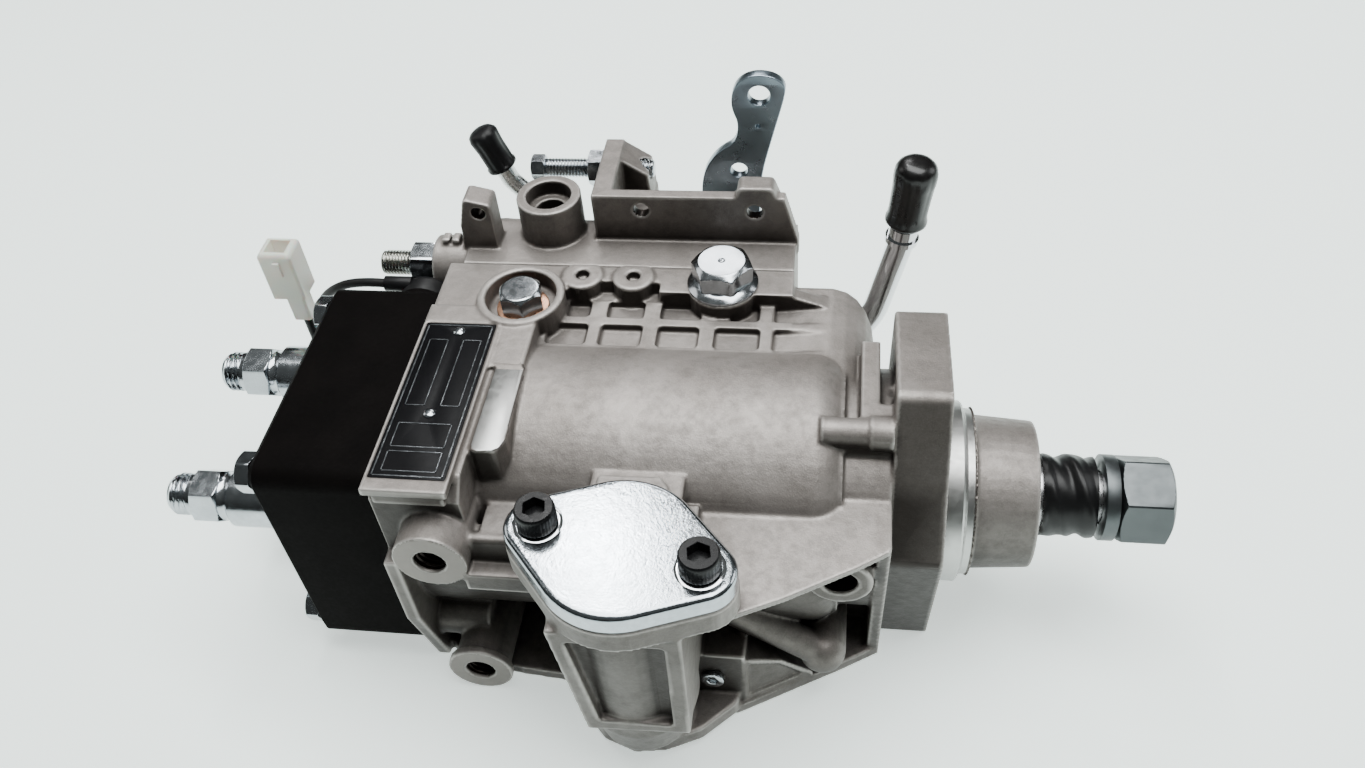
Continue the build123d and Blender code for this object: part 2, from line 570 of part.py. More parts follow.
with BuildPart() as flanged_plug:
    cz(31, 38.2, -62.3, 40.9, 5.0)
    with BuildSketch(Plane.XY.offset(38.1)):
        with Locations((-62.3, 40.9)):
            Circle(10.2)
    extrude(amount=2.2, taper=10)
    hex_z(40.2, 46.6, -62.3, 40.9, 15.6, rot=24)
    with BuildSketch(Plane.XY.offset(46.6)):
        with Locations((-62.3, 40.9)):
            Circle(1.8)
    extrude(amount=-0.8, taper=40, mode=Mode.SUBTRACT)
flanged_plug.part.label = "flanged_plug"
export_step(flanged_plug.part, "parts/flanged_plug.step")

with BuildPart() as recess_bolt:
    hex_z(36.0, 42.4, -119.5, 31.5, 11.4, rot=14)
    cz(28.5, 36.1, -119.5, 31.5, 4.0)
recess_bolt.part.label = "recess_bolt"
export_step(recess_bolt.part, "parts/recess_bolt.step")

with BuildPart() as recess_bolt_washer:
    cz(34.7, 35.9, -119.5, 31.5, 7.6)
    cz(34, 36.5, -119.5, 31.5, 4.15, mode=Mode.SUBTRACT)
recess_bolt_washer.part.label = "recess_bolt_washer"
export_step(recess_bolt_washer.part, "parts/recess_bolt_washer.step")

with BuildPart() as sealing_plug:
    cy(-46.6, -39.5, -59.6, -29, 2.5)
    cy(-48.2, -46.6, -59.6, -29, 3.1)
    hex_y(-49, -47.0, -59.6, -29, 2.6, mode=Mode.SUBTRACT)
sealing_plug.part.label = "sealing_plug"
export_step(sealing_plug.part, "parts/sealing_plug.step")

# ===================================================== screws on the cover
with BuildPart() as full_load_screw:
    cx(-171.2, -140.0, 57, 29, 3.9)
    block(-172, -168.6, 56.4, 57.6, 24, 34, mode=Mode.SUBTRACT)
full_load_screw.part.label = "full_load_screw"
export_step(full_load_screw.part, "parts/full_load_screw.step")

with BuildPart() as full_load_locknut:
    hex_x(-160.7, -152.7, 57, 29, 12.0, rot=10)
    cx(-161, -152, 57, 29, 3.95, mode=Mode.SUBTRACT)
full_load_locknut.part.label = "full_load_locknut"
export_step(full_load_locknut.part, "parts/full_load_locknut.step")

stop_sets = [(-126.0, 46.5), (-102.3, 4.5)]
with BuildPart() as stop_screws:
    for x, z in stop_sets:
        hex_x(x, x + 4.4, 84, z, 7.0)
        cx(x + 4.3, x + 38.7, 84, z, 3.0)
stop_screws.part.label = "stop_screws"
export_step(stop_screws.part, "parts/stop_screws.step")

with BuildPart() as stop_screw_locknuts:
    for x, z in [(-107.7, 46.5), (-90.7, 4.5)]:
        hex_x(x, x + 5.0, 84, z, 10.0, rot=8)
        cx(x - 1, x + 6, 84, z, 3.05, mode=Mode.SUBTRACT)
stop_screw_locknuts.part.label = "stop_screw_locknuts"
export_step(stop_screw_locknuts.part, "parts/stop_screw_locknuts.step")

# =================================================================== pipes
with BuildPart() as overflow_pipe:
    with BuildLine() as op:
        FilletPolyline((-121, 70, 27), (-121, 84, 27), (-134.0, 85, 40.5), (-140.6, 85, 58), radius=[5.5, 9.0])
    with BuildSketch(Plane(origin=op.line @ 0, z_dir=op.line % 0)):
        Circle(3.0)
        Circle(2.1, mode=Mode.SUBTRACT)
    sweep()
overflow_pipe.part.label = "overflow_pipe"
export_step(overflow_pipe.part, "parts/overflow_pipe.step")

with BuildPart() as overflow_cap:
    with BuildSketch(Plane(origin=(-136.06, 85, 46.0), z_dir=(-7.3, 0, 19.5))):
        Circle(4.9)
    extrude(amount=14.4)
    fillet(overflow_cap.faces().sort_by(Axis.Z)[-1].edges(), radius=2.2)
    with BuildSketch(Plane(origin=(-136.06, 85, 46.0), z_dir=(-7.3, 0, 19.5))):
        Circle(3.06)
    extrude(amount=13.2, mode=Mode.SUBTRACT)
overflow_cap.part.label = "overflow_cap"
export_step(overflow_cap.part, "parts/overflow_cap.step")

with BuildPart() as inlet_pipe:
    with BuildLine() as ip:
        FilletPolyline((-28.7, 52, 1), (-18.5, 52, 19), (-12.3, 52, 46), (-9.9, 52, 69), radius=[26, 60])
    with BuildSketch(Plane(origin=ip.line @ 0, z_dir=ip.line % 0)):
        Circle(3.7)
        Circle(2.7, mode=Mode.SUBTRACT)
    sweep()
    with BuildSketch(Plane(origin=(-12.4, 52, 46.4), z_dir=(2.9, 0, 28))):
        Circle(4.7)
        Circle(3.0, mode=Mode.SUBTRACT)
    extrude(amount=1.6)
    with BuildSketch(Plane(origin=(-12.2, 52, 47.9), z_dir=(2.9, 0, 28))):
        Circle(4.1)
        Circle(3.0, mode=Mode.SUBTRACT)
    extrude(amount=3.6)
inlet_pipe.part.label = "inlet_pipe"
export_step(inlet_pipe.part, "parts/inlet_pipe.step")

with BuildPart() as inlet_cap:
    cap_plane = Plane(origin=(-11.62, 52, 53.0), z_dir=(2.9, 0, 28))
    with BuildSketch(cap_plane):
        Circle(5.9)
    extrude(amount=1.6)
    with BuildSketch(cap_plane):
        Circle(5.3)
    with BuildSketch(cap_plane.offset(16.5)):
        Circle(6.0)
    loft()
    with BuildSketch(cap_plane.offset(16.4)):
        Circle(6.0)
    extrude(amount=4.0)
    fillet(inlet_cap.faces().sort_by(Axis.Z)[-1].edges(), radius=3.4)
    with BuildSketch(cap_plane):
        Circle(3.85)
    extrude(amount=18.6, mode=Mode.SUBTRACT)
inlet_cap.part.label = "inlet_cap"
export_step(inlet_cap.part, "parts/inlet_cap.step")

# ================================================================ solenoid
with BuildPart() as solenoid_body:
    cy(40.8, 47.6, -154.2, 24, 8.9)
    fillet(solenoid_body.faces().sort_by(Axis.Y)[-1].edges(), radius=2.4)
    cy(34.2, 40.9, -154.2, 24, 4.42)
    cx(-166.5, -158, 45.2, 30.6, 2.3)
    cy(33, 44, -154.2, 24, 2.6, mode=Mode.SUBTRACT)
solenoid_body.part.label = "solenoid_body"
export_step(solenoid_body.part, "parts/solenoid_body.step")

with BuildPart() as solenoid_armature:
    cy(27.6, 42.4, -154.2, 24, 2.5)
solenoid_armature.part.label = "solenoid_armature"
export_step(solenoid_armature.part, "parts/solenoid_armature.step")

# sleeved lead from the solenoid to its connector: straight runs and tangent arcs
lead_d = 2.8
lead_pts = [(-166.6, 45.2, 30.6), (-177.0, 45.6, 31.0), (-189.0, 48.0, 23.4), (-196.4, 53.0, 11.5), (-198.0, 61.0, -1.0),
            (-196.0, 65.0, -14.0), (-193.5, 58.0, -25.0), (-192.6, 46.0, -24.0), (-193.0, 40.4, -12.0),
            (-193.2, 40.0, 3.0), (-193.2, 40.0, 21.4)]
lead_radii = []
for a, b, c in zip(lead_pts, lead_pts[1:], lead_pts[2:]):
    u = Vector(*b) - Vector(*a)
    v = Vector(*c) - Vector(*b)
    turn = math.radians(u.get_angle(v))
    lead_radii.append(0.45 * min(u.length, v.length) / math.tan(turn / 2))
print("lead radii", [round(r, 1) for r in lead_radii])
with BuildPart() as solenoid_lead:
    with BuildLine() as lp:
        FilletPolyline(*lead_pts, radius=lead_radii)
    with BuildSketch(Plane(origin=lp.line @ 0, z_dir=lp.line % 0)):
        Circle(lead_d / 2)
    sweep()
print("lead length", round(lp.wire().length, 1), "volume", round(solenoid_lead.part.volume, 1), "section x length",
      round(math.pi * (lead_d / 2) ** 2 * lp.wire().length, 1))
solenoid_lead.part.label = "solenoid_lead"
export_step(solenoid_lead.part, "parts/solenoid_lead.step")

with BuildPart() as lead_connector:
    block(-196.2, -190.4, 37.2, 42.8, 21.5, 32.0)
    block(-199.0, -188.6, 35.4, 44.6, 31.6, 48.6)
    fillet(lead_connector.edges().filter_by(Axis.Z), radius=1.0)
    fillet(lead_connector.faces().sort_by(Axis.Z)[-1].edges(), radius=1.6)
    block(-197.0, -190.6, 37.2, 42.8, 41.0, 50, mode=Mode.SUBTRACT)
    block(-194.4, -192.4, 34.6, 35.6, 41.0, 46.0)
lead_connector.part.label = "lead_connector"
export_step(lead_connector.part, "parts/lead_connector.step")

# ============================================================== drive train
with BuildPart() as shaft_bush:
    cx(-25.8, 15.5, 0, 0, 12.45)
    cx(-26, 16, 0, 0, shaft_r + 0.06, mode=Mode.SUBTRACT)
shaft_bush.part.label = "shaft_bush"
export_step(shaft_bush.part, "parts/shaft_bush.step")

with BuildPart() as shaft_seal:
    cx(17.0, 23.4, 0, 0, 14.4)
    cx(16.0, 25, 0, 0, shaft_r + 0.09, mode=Mode.SUBTRACT)
shaft_seal.part.label = "shaft_seal"
export_step(shaft_seal.part, "parts/shaft_seal.step")

with BuildPart() as drive_shaft:
    cx(-62, 28, 0, 0, shaft_r)
    with BuildSketch(Plane.YZ.offset(28)):
        Circle(shaft_r)
    with BuildSketch(Plane.YZ.offset(42.0)):
        Circle(8.6)
    loft()
    cx(41.9, 60.6, 0, 0, 6.95)
    cx(-66, -61.9, 0, 0, 14.5)
    block(-82, -65.9, 6, 13.4, -4.5, 4.5)
    block(-82, -65.9, -13.4, -6, -4.5, 4.5)
drive_shaft.part.label = "drive_shaft"
export_step(drive_shaft.part, "parts/drive_shaft.step")

with BuildPart() as shaft_tape:
    cx(27.0, 41.4, 0, 0, 11.7)
    cx(26, 42.2, 0, 0, shaft_r + 0.05, mode=Mode.SUBTRACT)
shaft_tape.part.label = "shaft_tape"
export_step(shaft_tape.part, "parts/shaft_tape.step")

with BuildPart() as shaft_washer:
    cx(43.2, 46.7, 0, 0, 11.8)
    cx(43, 47, 0, 0, 7.3, mode=Mode.SUBTRACT)
    prism_y(4, 14, [(42, -0.8), (48, 0.6), (48, 1.4), (42, 0.0)], mode=Mode.SUBTRACT)
shaft_washer.part.label = "shaft_washer"
export_step(shaft_washer.part, "parts/shaft_washer.step")

with BuildPart() as shaft_nut:
    with BuildSketch(Plane.YZ.offset(47.1)):
        RegularPolygon(22 / math.sqrt(3), 6, rotation=18.6)
        Circle(12.3, mode=Mode.INTERSECT)
    extrude(amount=13.9)
    cx(46.5, 62, 0, 0, 7.0, mode=Mode.SUBTRACT)
shaft_nut.part.label = "shaft_nut"
export_step(shaft_nut.part, "parts/shaft_nut.step")

with BuildPart() as feed_pump_ring:
    cx(-42.0, -26.3, 0, 0, 30.3)
    cx(-43, -26, 0, 2.5, 26.0, mode=Mode.SUBTRACT)
feed_pump_ring.part.label = "feed_pump_ring"
export_step(feed_pump_ring.part, "parts/feed_pump_ring.step")

with BuildPart() as feed_pump_cover:
    cx(-46.3, -42.4, 0, 0, 33.8)
    cx(-47, -42, 0, 0, shaft_r + 0.3, mode=Mode.SUBTRACT)
    for y, z in [(0, 21), (0, -18)]:
        cx(-47, -42, y, z, 3.0, mode=Mode.SUBTRACT)
feed_pump_cover.part.label = "feed_pump_cover"
export_step(feed_pump_cover.part, "parts/feed_pump_cover.step")

with BuildPart() as feed_pump_rotor:
    cx(-41.9, -26.6, 0, 0, 22.8)
    cx(-43, -26, 0, 0, shaft_r + 0.03, mode=Mode.SUBTRACT)
    for k in range(4):
        with BuildSketch(Plane.YZ.offset(-42.5)):
            with Locations(Rotation(0, 0, 90 * k) * Location((18.5, 0))):
                Rectangle(11, 3.0)
        extrude(amount=17, mode=Mode.SUBTRACT)
feed_pump_rotor.part.label = "feed_pump_rotor"
export_step(feed_pump_rotor.part, "parts/feed_pump_rotor.step")

with BuildPart() as feed_pump_vanes:
    for k in range(4):
        with BuildSketch(Plane.YZ.offset(-41.8)):
            with Locations(Rotation(0, 0, 90 * k) * Location((18.3, 0))):
                Rectangle(9.6, 2.9)
        extrude(amount=15.1)
feed_pump_vanes.part.label = "feed_pump_vanes"
export_step(feed_pump_vanes.part, "parts/feed_pump_vanes.step")

with BuildPart() as drive_gear:
    with BuildSketch(Plane.YZ.offset(-55.5)):
        with BuildLine():
            Polyline(*involute_points(gear_z1, gear_m, 0.16, 0.0, 0, 0), close=True)
        make_face()
        Circle(shaft_r + 0.03, mode=Mode.SUBTRACT)
    extrude(amount=7.0)
drive_gear.part.label = "drive_gear"
export_step(drive_gear.part, "parts/drive_gear.step")

# ======================================================== high pressure side
with BuildPart() as roller_ring:
    cx(-86, -71, 0, 0, 33.9)
    cx(-87, -70, 0, 0, 20.0, mode=Mode.SUBTRACT)
    for k in range(3):
        with BuildSketch(Plane.YZ.offset(-87)):
            with Locations(Rotation(0, 0, 120 * k) * Location((27, 0))):
                Rectangle(10.2, 11.0)
        extrude(amount=9.5, mode=Mode.SUBTRACT)
        with BuildSketch(Plane(origin=(-83, 0, 0), z_dir=(0, math.cos(math.radians(120 * k)),
                                                          math.sin(math.radians(120 * k))))):
            Circle(1.85)
        extrude(amount=33.0, mode=Mode.SUBTRACT)
    cy(-35, -26.9, timer_x, 0, 3.95, mode=Mode.SUBTRACT)
roller_ring.part.label = "roller_ring"
export_step(roller_ring.part, "parts/roller_ring.step")

with BuildPart() as rollers:
    for k in range(3):
        c, s = math.cos(math.radians(120 * k)), math.sin(math.radians(120 * k))
        with BuildSketch(Plane(origin=(-83, 22.6 * c, 22.6 * s), z_dir=(0, c, s))):
            Circle(5.0)
        extrude(amount=8.8)
        with BuildSketch(Plane(origin=(-83, 20.6 * c, 20.6 * s), z_dir=(0, c, s))):
            Circle(1.75)
        extrude(amount=12.0)
rollers.part.label = "rollers"
export_step(rollers.part, "parts/rollers.step")

with BuildPart() as cam_plate:
    cx(-98.6, -90.4, 0, 0, 31.5)
    for k in range(3):
        c, s = math.cos(math.radians(30 + 120 * k)), math.sin(math.radians(30 + 120 * k))
        with BuildSketch(Plane(origin=(-93.2, 21.5 * c, 21.5 * s), z_dir=(0, c, s))):
            Circle(5.0)
        extrude(amount=9.6)
    block(-90.5, -74.0, -4.5, 4.5, 6, 13.4)
    block(-90.5, -74.0, -4.5, 4.5, -13.4, -6)
cam_plate.part.label = "cam_plate"
export_step(cam_plate.part, "parts/cam_plate.step")

with BuildPart() as plunger:
    cx(-172.0, -101.5, 0, 0, 5.0)
    cx(-101.6, -98.7, 0, 0, 8.5)
plunger.part.label = "plunger"
export_step(plunger.part, "parts/plunger.step")

with BuildPart() as spring_bridge:
    prism_x(-104.4, -102.0, [(-7.2, -28), (7.2, -28), (7.2, 28), (-7.2, 28)], r=6.5)
    cx(-105, -101, 0, 0, 5.3, mode=Mode.SUBTRACT)
spring_bridge.part.label = "spring_bridge"
export_step(spring_bridge.part, "parts/spring_bridge.step")

plunger_coils = [spring_solid((-135.6, 0, z), (1, 0, 0), 5.6, 1.1, 29.8, 6) for z in (21, -21)]
with BuildPart() as plunger_springs:
    for coil in plunger_coils:
        add(coil)
plunger_springs.part.label = "plunger_springs"
export_step(plunger_springs.part, "parts/plunger_springs.step")

with BuildPart() as spill_ring:
    cx(-122, -113, 0, 0, 11.0)
    cx(-123, -112, 0, 0, 5.05, mode=Mode.SUBTRACT)
    block(-120.3, -114.7, 8.0, 12, -12, 12, mode=Mode.SUBTRACT)
spill_ring.part.label = "spill_ring"
export_step(spill_ring.part, "parts/spill_ring.step")

# ================================================================= governor
with BuildPart() as governor_shaft:
    cx(-94.5, -33.5, gov_y, 0, 4.0)
governor_shaft.part.label = "governor_shaft"
export_step(governor_shaft.part, "parts/governor_shaft.step")

with BuildPart() as governor_cage:
    with BuildSketch(Plane.YZ.offset(-55.5)):
        with BuildLine():
            Polyline(*involute_points(gear_z2, gear_m, 0.16, 0.0, gov_y, 0), close=True)
        make_face()
    extrude(amount=7.0)
    cx(-70.4, -55.4, gov_y, 0, 15.2)
    for s in (1, -1):
        block(-71, -58, gov_y - 5.4, gov_y + 5.4, min(s * 5.7, s * 18), max(s * 5.7, s * 18), mode=Mode.SUBTRACT)
        cy(gov_y - 9, gov_y + 9, -60.2, s * 12.6, 1.3, mode=Mode.SUBTRACT)
    cx(-71, -61.4, gov_y, 0, 8.3, mode=Mode.SUBTRACT)
    cx(-71, -48, gov_y, 0, 4.06, mode=Mode.SUBTRACT)
governor_cage.part.label = "governor_cage"
export_step(governor_cage.part, "parts/governor_cage.step")

flyweight_parts = []
for tag, s in (("a", 1), ("b", -1)):
    with BuildPart() as flyweight:
        prism_y(gov_y - 4.9, gov_y + 4.9, [(-61.4, s * 9.0), (-61.4, s * 13.6), (-63.0, s * 14.2), (-70.0, s * 14.2), (-70.0, s * 9.0)])
        prism_y(gov_y - 4.9, gov_y + 4.9, [(-58.6, s * 5.9), (-58.6, s * 13.6), (-61.5, s * 13.6), (-61.5, s * 9.0), (-61.4, s * 5.9)])
        cy(gov_y - 8.6, gov_y + 8.6, -60.2, s * 12.6, 1.22)
    flyweight.part.label = "flyweight_" + tag
    export_step(flyweight.part, "parts/flyweight_" + tag + ".step")
    flyweight_parts.append(flyweight.part)

with BuildPart() as governor_sleeve:
    cx(-95.0, -61.9, gov_y, 0, 7.8)
    cx(-96, -61, gov_y, 0, 4.06, mode=Mode.SUBTRACT)
governor_sleeve.part.label = "governor_sleeve"
export_step(governor_sleeve.part, "parts/governor_sleeve.step")

with BuildPart() as governor_lever:
    prism_z(-6.5, 6.5, [(-97.6, 63.5), (-99.8, 63.5), (-100.4, 38), (-108.6, 28.5), (-108.0, 23), (-113, 17), (-116.0, 11.5),
                        (-118.6, 11.5), (-116.5, 18), (-111.0, 27.5), (-103.0, 38.5), (-102.4, 66), (-97.6, 66)])
    prism_z(-6.5, 6.5, [(-100.4, 38), (-97.7, 41), (-97.7, 50), (-100.2, 52)])
    block(-102.4, -97.6, 58.5, 64.5, 6, 23)
    cz(-30.6, 30.6, -106, 26, 2.0)
    cz(-8.0, 8.0, -106, 26, 4.6)
    block(-98.2, -95.3, 44.2, 47.3, -6.5, 6.5)
    cy(9.8, 14.0, -117.4, 0, 2.5)
    block(-113.2, -108, 33.7, 36, -8, 8, mode=Mode.SUBTRACT)
governor_lever.part.label = "governor_lever"
export_step(governor_lever.part, "parts/governor_lever.step")

governor_coil = spring_solid((-96.6, 61.5, 19.0), (1, 0, 0), 3.4, 0.6, 22.8, 8)
with BuildPart() as governor_spring:
    add(governor_coil)
governor_spring.part.label = "governor_spring"
export_step(governor_spring.part, "parts/governor_spring.step")

# ============================================================ control lever
with BuildPart() as control_shaft:
    cy(65.8, 80.6, lever_x, lever_z, 5.0)
    cy(80.5, 86.4, lever_x, lever_z, 4.0)
    cy(86.3, 92.6, lever_x, lever_z, 3.0)
    block(-73, -57, 65.8, 68.4, 16.5, 23.5)
    cy(62.0, 65.9, -71.0, 19.5, 1.8)
control_shaft.part.label = "control_shaft"
export_step(control_shaft.part, "parts/control_shaft.step")

with BuildPart() as control_lever:
    with BuildSketch(Plane.XZ.offset(-86.2)) as lev:
        with BuildLine():
            Polyline((-55.0, 24), (-54.6, 43.2), (-50.4, 59.6), (-46.4, 74.2), (-47.0, 76.8), (-49.2, 78.9), (-52.6, 79.9),
                     (-56.2, 79.8), (-59.4, 78.4), (-61.6, 75.8), (-62.5, 72.3), (-62.4, 68.4), (-60.5, 63.4), (-61.8, 57.0),
                     (-66.2, 54.3), (-69.2, 51.0), (-71.2, 47.4), (-72.5, 42.8), (-72.9, 37.7), (-72.0, 31), (-68.4, 22),
                     (-66.4, 14), (-63.2, 10), (-63.2, 0), (-53.4, 0), (-53.0, 10), (-52.6, 16), close=True)
        make_face()
        fillet(lev.vertices(), radius=0.9)
        with Locations((-54.3, 73.2)):
            Circle(3.2, mode=Mode.SUBTRACT)
        with Locations((-60.9, 47.1)):
            Circle(2.6, mode=Mode.SUBTRACT)
        with Locations((lever_x, lever_z)):
            Circle(4.05, mode=Mode.SUBTRACT)
        with Locations((-54.8, 63.0)):
            Circle(0.6, mode=Mode.SUBTRACT)
    extrude(amount=3.4)
control_lever.part.label = "control_lever"
export_step(control_lever.part, "parts/control_lever.step")

with BuildPart() as control_lever_nut:
    hex_y(86.5, 91.5, lever_x, lever_z, 10.0)
    cy(86, 92, lever_x, lever_z, 3.05, mode=Mode.SUBTRACT)
control_lever_nut.part.label = "control_lever_nut"
export_step(control_lever_nut.part, "parts/control_lever_nut.step")
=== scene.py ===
import bpy
import bmesh
import json
import math
import numpy as np
from mathutils import Vector, Matrix


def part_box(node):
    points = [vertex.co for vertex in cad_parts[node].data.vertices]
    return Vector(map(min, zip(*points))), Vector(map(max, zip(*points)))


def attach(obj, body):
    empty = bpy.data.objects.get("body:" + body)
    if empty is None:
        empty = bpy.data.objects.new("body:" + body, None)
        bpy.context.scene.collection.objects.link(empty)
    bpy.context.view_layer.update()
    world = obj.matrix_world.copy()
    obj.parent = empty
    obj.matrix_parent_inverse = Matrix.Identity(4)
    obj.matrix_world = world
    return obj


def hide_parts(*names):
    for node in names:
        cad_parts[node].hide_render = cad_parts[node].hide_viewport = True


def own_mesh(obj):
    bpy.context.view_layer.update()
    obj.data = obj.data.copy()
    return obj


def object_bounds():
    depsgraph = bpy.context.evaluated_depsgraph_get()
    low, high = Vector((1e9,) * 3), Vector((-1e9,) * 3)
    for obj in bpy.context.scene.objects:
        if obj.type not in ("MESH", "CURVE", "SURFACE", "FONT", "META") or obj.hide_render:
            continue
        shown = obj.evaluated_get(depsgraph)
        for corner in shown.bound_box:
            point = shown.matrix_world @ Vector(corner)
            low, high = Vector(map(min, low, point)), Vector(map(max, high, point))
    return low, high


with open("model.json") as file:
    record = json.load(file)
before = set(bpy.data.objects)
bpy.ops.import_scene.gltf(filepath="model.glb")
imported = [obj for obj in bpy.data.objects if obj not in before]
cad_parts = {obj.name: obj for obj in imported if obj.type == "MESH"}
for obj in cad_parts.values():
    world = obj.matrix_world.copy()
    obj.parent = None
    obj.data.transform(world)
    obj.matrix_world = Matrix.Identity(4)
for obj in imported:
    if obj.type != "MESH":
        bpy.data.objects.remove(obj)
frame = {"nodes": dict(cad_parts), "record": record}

cad_lo, cad_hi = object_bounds()
nodes = frame["nodes"]
scene = bpy.context.scene
MM = 0.001


# ----------------------------------------------------------------- camera
cam_data = bpy.data.cameras.new("camera")
cam_data.lens = 30.41
cam_data.sensor_width = 36.0
cam_data.clip_start = 0.01
cam_data.clip_end = 20.0
cam = bpy.data.objects.new("camera", cam_data)
scene.collection.objects.link(cam)
right = Vector((0.9905, 0.1189, -0.0686)).normalized()
back = Vector((0.1318, -0.6846, 0.7169)).normalized()
up = back.cross(right).normalized()
right = up.cross(back).normalized()
cam.matrix_world = Matrix((
    (right.x, up.x, back.x, -0.0291),
    (right.y, up.y, back.y, -0.2075),
    (right.z, up.z, back.z, 0.2557),
    (0, 0, 0, 1)))
scene.camera = cam


# -------------------------------------------------------------- materials
def new_mat(name):
    m = bpy.data.materials.new(name)
    m.use_nodes = True
    nt = m.node_tree
    nt.nodes.clear()
    out = nt.nodes.new("ShaderNodeOutputMaterial")
    bs = nt.nodes.new("ShaderNodeBsdfPrincipled")
    nt.links.new(bs.outputs[0], out.inputs[0])
    co = nt.nodes.new("ShaderNodeTexCoord")
    return m, nt, bs, co


def noise(nt, co, scale, detail=3.0, rough=0.55, distort=0.0):
    n = nt.nodes.new("ShaderNodeTexNoise")
    n.inputs["Scale"].default_value = scale
    n.inputs["Detail"].default_value = detail
    n.inputs["Roughness"].default_value = rough
    n.inputs["Distortion"].default_value = distort
    nt.links.new(co.outputs["Object"], n.inputs["Vector"])
    return n.outputs["Fac"]


def voronoi(nt, co, scale, feature="F1"):
    n = nt.nodes.new("ShaderNodeTexVoronoi")
    n.feature = feature
    n.inputs["Scale"].default_value = scale
    nt.links.new(co.outputs["Object"], n.inputs["Vector"])
    return n


def ramp(nt, fac, stops):
    r = nt.nodes.new("ShaderNodeValToRGB")
    while len(r.color_ramp.elements) < len(stops):
        r.color_ramp.elements.new(0.5)
    for e, (p, c) in zip(r.color_ramp.elements, stops):
        e.position = p
        e.color = (c[0], c[1], c[2], 1) if isinstance(c, (tuple, list)) else (c, c, c, 1)
    nt.links.new(fac, r.inputs[0])
    return r.outputs[0]


def mixc(nt, fac, a, b, mode="MIX"):
    m = nt.nodes.new("ShaderNodeMix")
    m.data_type = "RGBA"
    m.blend_type = mode
    for sock, v in ((m.inputs[0], fac), (m.inputs[6], a), (m.inputs[7], b)):
        if hasattr(v, "links"):
            nt.links.new(v, sock)
        elif isinstance(v, (tuple, list)):
            sock.default_value = (v[0], v[1], v[2], 1)
        else:
            sock.default_value = v
    return m.outputs[2]


def mathn(nt, op, a, b=0.0):
    m = nt.nodes.new("ShaderNodeMath")
    m.operation = op
    for i, v in enumerate((a, b)):
        if hasattr(v, "links"):
            nt.links.new(v, m.inputs[i])
        else:
            m.inputs[i].default_value = v
    return m.outputs[0]


def bump(nt, bs, layers):
    """layers: (height, strength, distance in metres), laid over each other."""
    prev = None
    for h, s, d in layers:
        b = nt.nodes.new("ShaderNodeBump")
        b.inputs["Strength"].default_value = s
        b.inputs["Distance"].default_value = d
        nt.links.new(h, b.inputs["Height"])
        if prev is not None:
            nt.links.new(prev, b.inputs["Normal"])
        prev = b.outputs[0]
    nt.links.new(prev, bs.inputs["Normal"])


def cast_material(name="cast_aluminium", low=(0.186, 0.166, 0.152), high=(0.262, 0.240, 0.225), painted_light=True):
    m, nt, bs, co = new_mat(name)
    fine = noise(nt, co, 2400, 2.0, 0.6)
    mid = noise(nt, co, 330, 4.0, 0.6)
    wide = noise(nt, co, 34, 4.0, 0.55)
    flow = noise(nt, co, 12, 3.0, 0.6, 1.5)
    base = ramp(nt, wide, [(0.30, low), (0.66, high)])
    base = mixc(nt, ramp(nt, mid, [(0.42, 0.0), (0.72, 0.55)]), base, tuple(c * 0.62 for c in low))
    base = mixc(nt, ramp(nt, flow, [(0.50, 0.0), (0.66, 0.50)]), base, tuple(min(1, c * 1.35) for c in high))
    base = mixc(nt, ramp(nt, fine, [(0.45, 0.0), (0.85, 0.28)]), base, (0.40, 0.372, 0.348))
    if painted_light:
        at = nt.nodes.new("ShaderNodeAttribute")
        at.attribute_name = "painted_light"
        sep = nt.nodes.new("ShaderNodeSeparateColor")
        nt.links.new(at.outputs["Color"], sep.inputs[0])
        # red: painted shade in closed-in spots, creases and faces turned from the light; green: painted highlight on
        # sharp edges
        base = mixc(nt, ramp(nt, sep.outputs[0], [(0.10, 0.0), (0.92, 0.95)]), base, (0.0135, 0.0098, 0.0080))
        # painted highlight: sharp edges are lightened by the green channel
        base = mixc(nt, ramp(nt, sep.outputs[1], [(0.10, 0.0), (0.80, 0.85)]), base, (0.50, 0.475, 0.45))
    nt.links.new(base, bs.inputs["Base Color"])
    bs.inputs["Metallic"].default_value = 0.62
    nt.links.new(ramp(nt, mid, [(0.2, 0.42), (0.8, 0.56)]), bs.inputs["Roughness"])
    bump(nt, bs, [(fine, 0.40, 0.00012), (mid, 0.45, 0.00030)])
    return m


def zinc_material(name, tint, rough0, rough1, speckle, spark=0.10):
    m, nt, bs, co = new_mat(name)
    cells = voronoi(nt, co, 1500)
    mid = noise(nt, co, 420, 5.0, 0.7)
    wide = noise(nt, co, 70, 4.0, 0.6)
    dark = tuple(c * (1 - speckle) for c in tint)
    base = mixc(nt, ramp(nt, mid, [(0.40, 0.0), (0.62, 1.0)]), dark, tint)
    base = mixc(nt, ramp(nt, wide, [(0.40, 0.0), (0.75, 0.55)]), base, tuple(c * 0.72 for c in tint))
    nt.links.new(base, bs.inputs["Base Color"])
    bs.inputs["Metallic"].default_value = 1.0
    nt.links.new(ramp(nt, mid, [(0.35, rough0), (0.70, rough1)]), bs.inputs["Roughness"])
    bump(nt, bs, [(cells.outputs["Distance"], spark, 0.00005), (mid, spark * 2.2, 0.00012)])
    return m


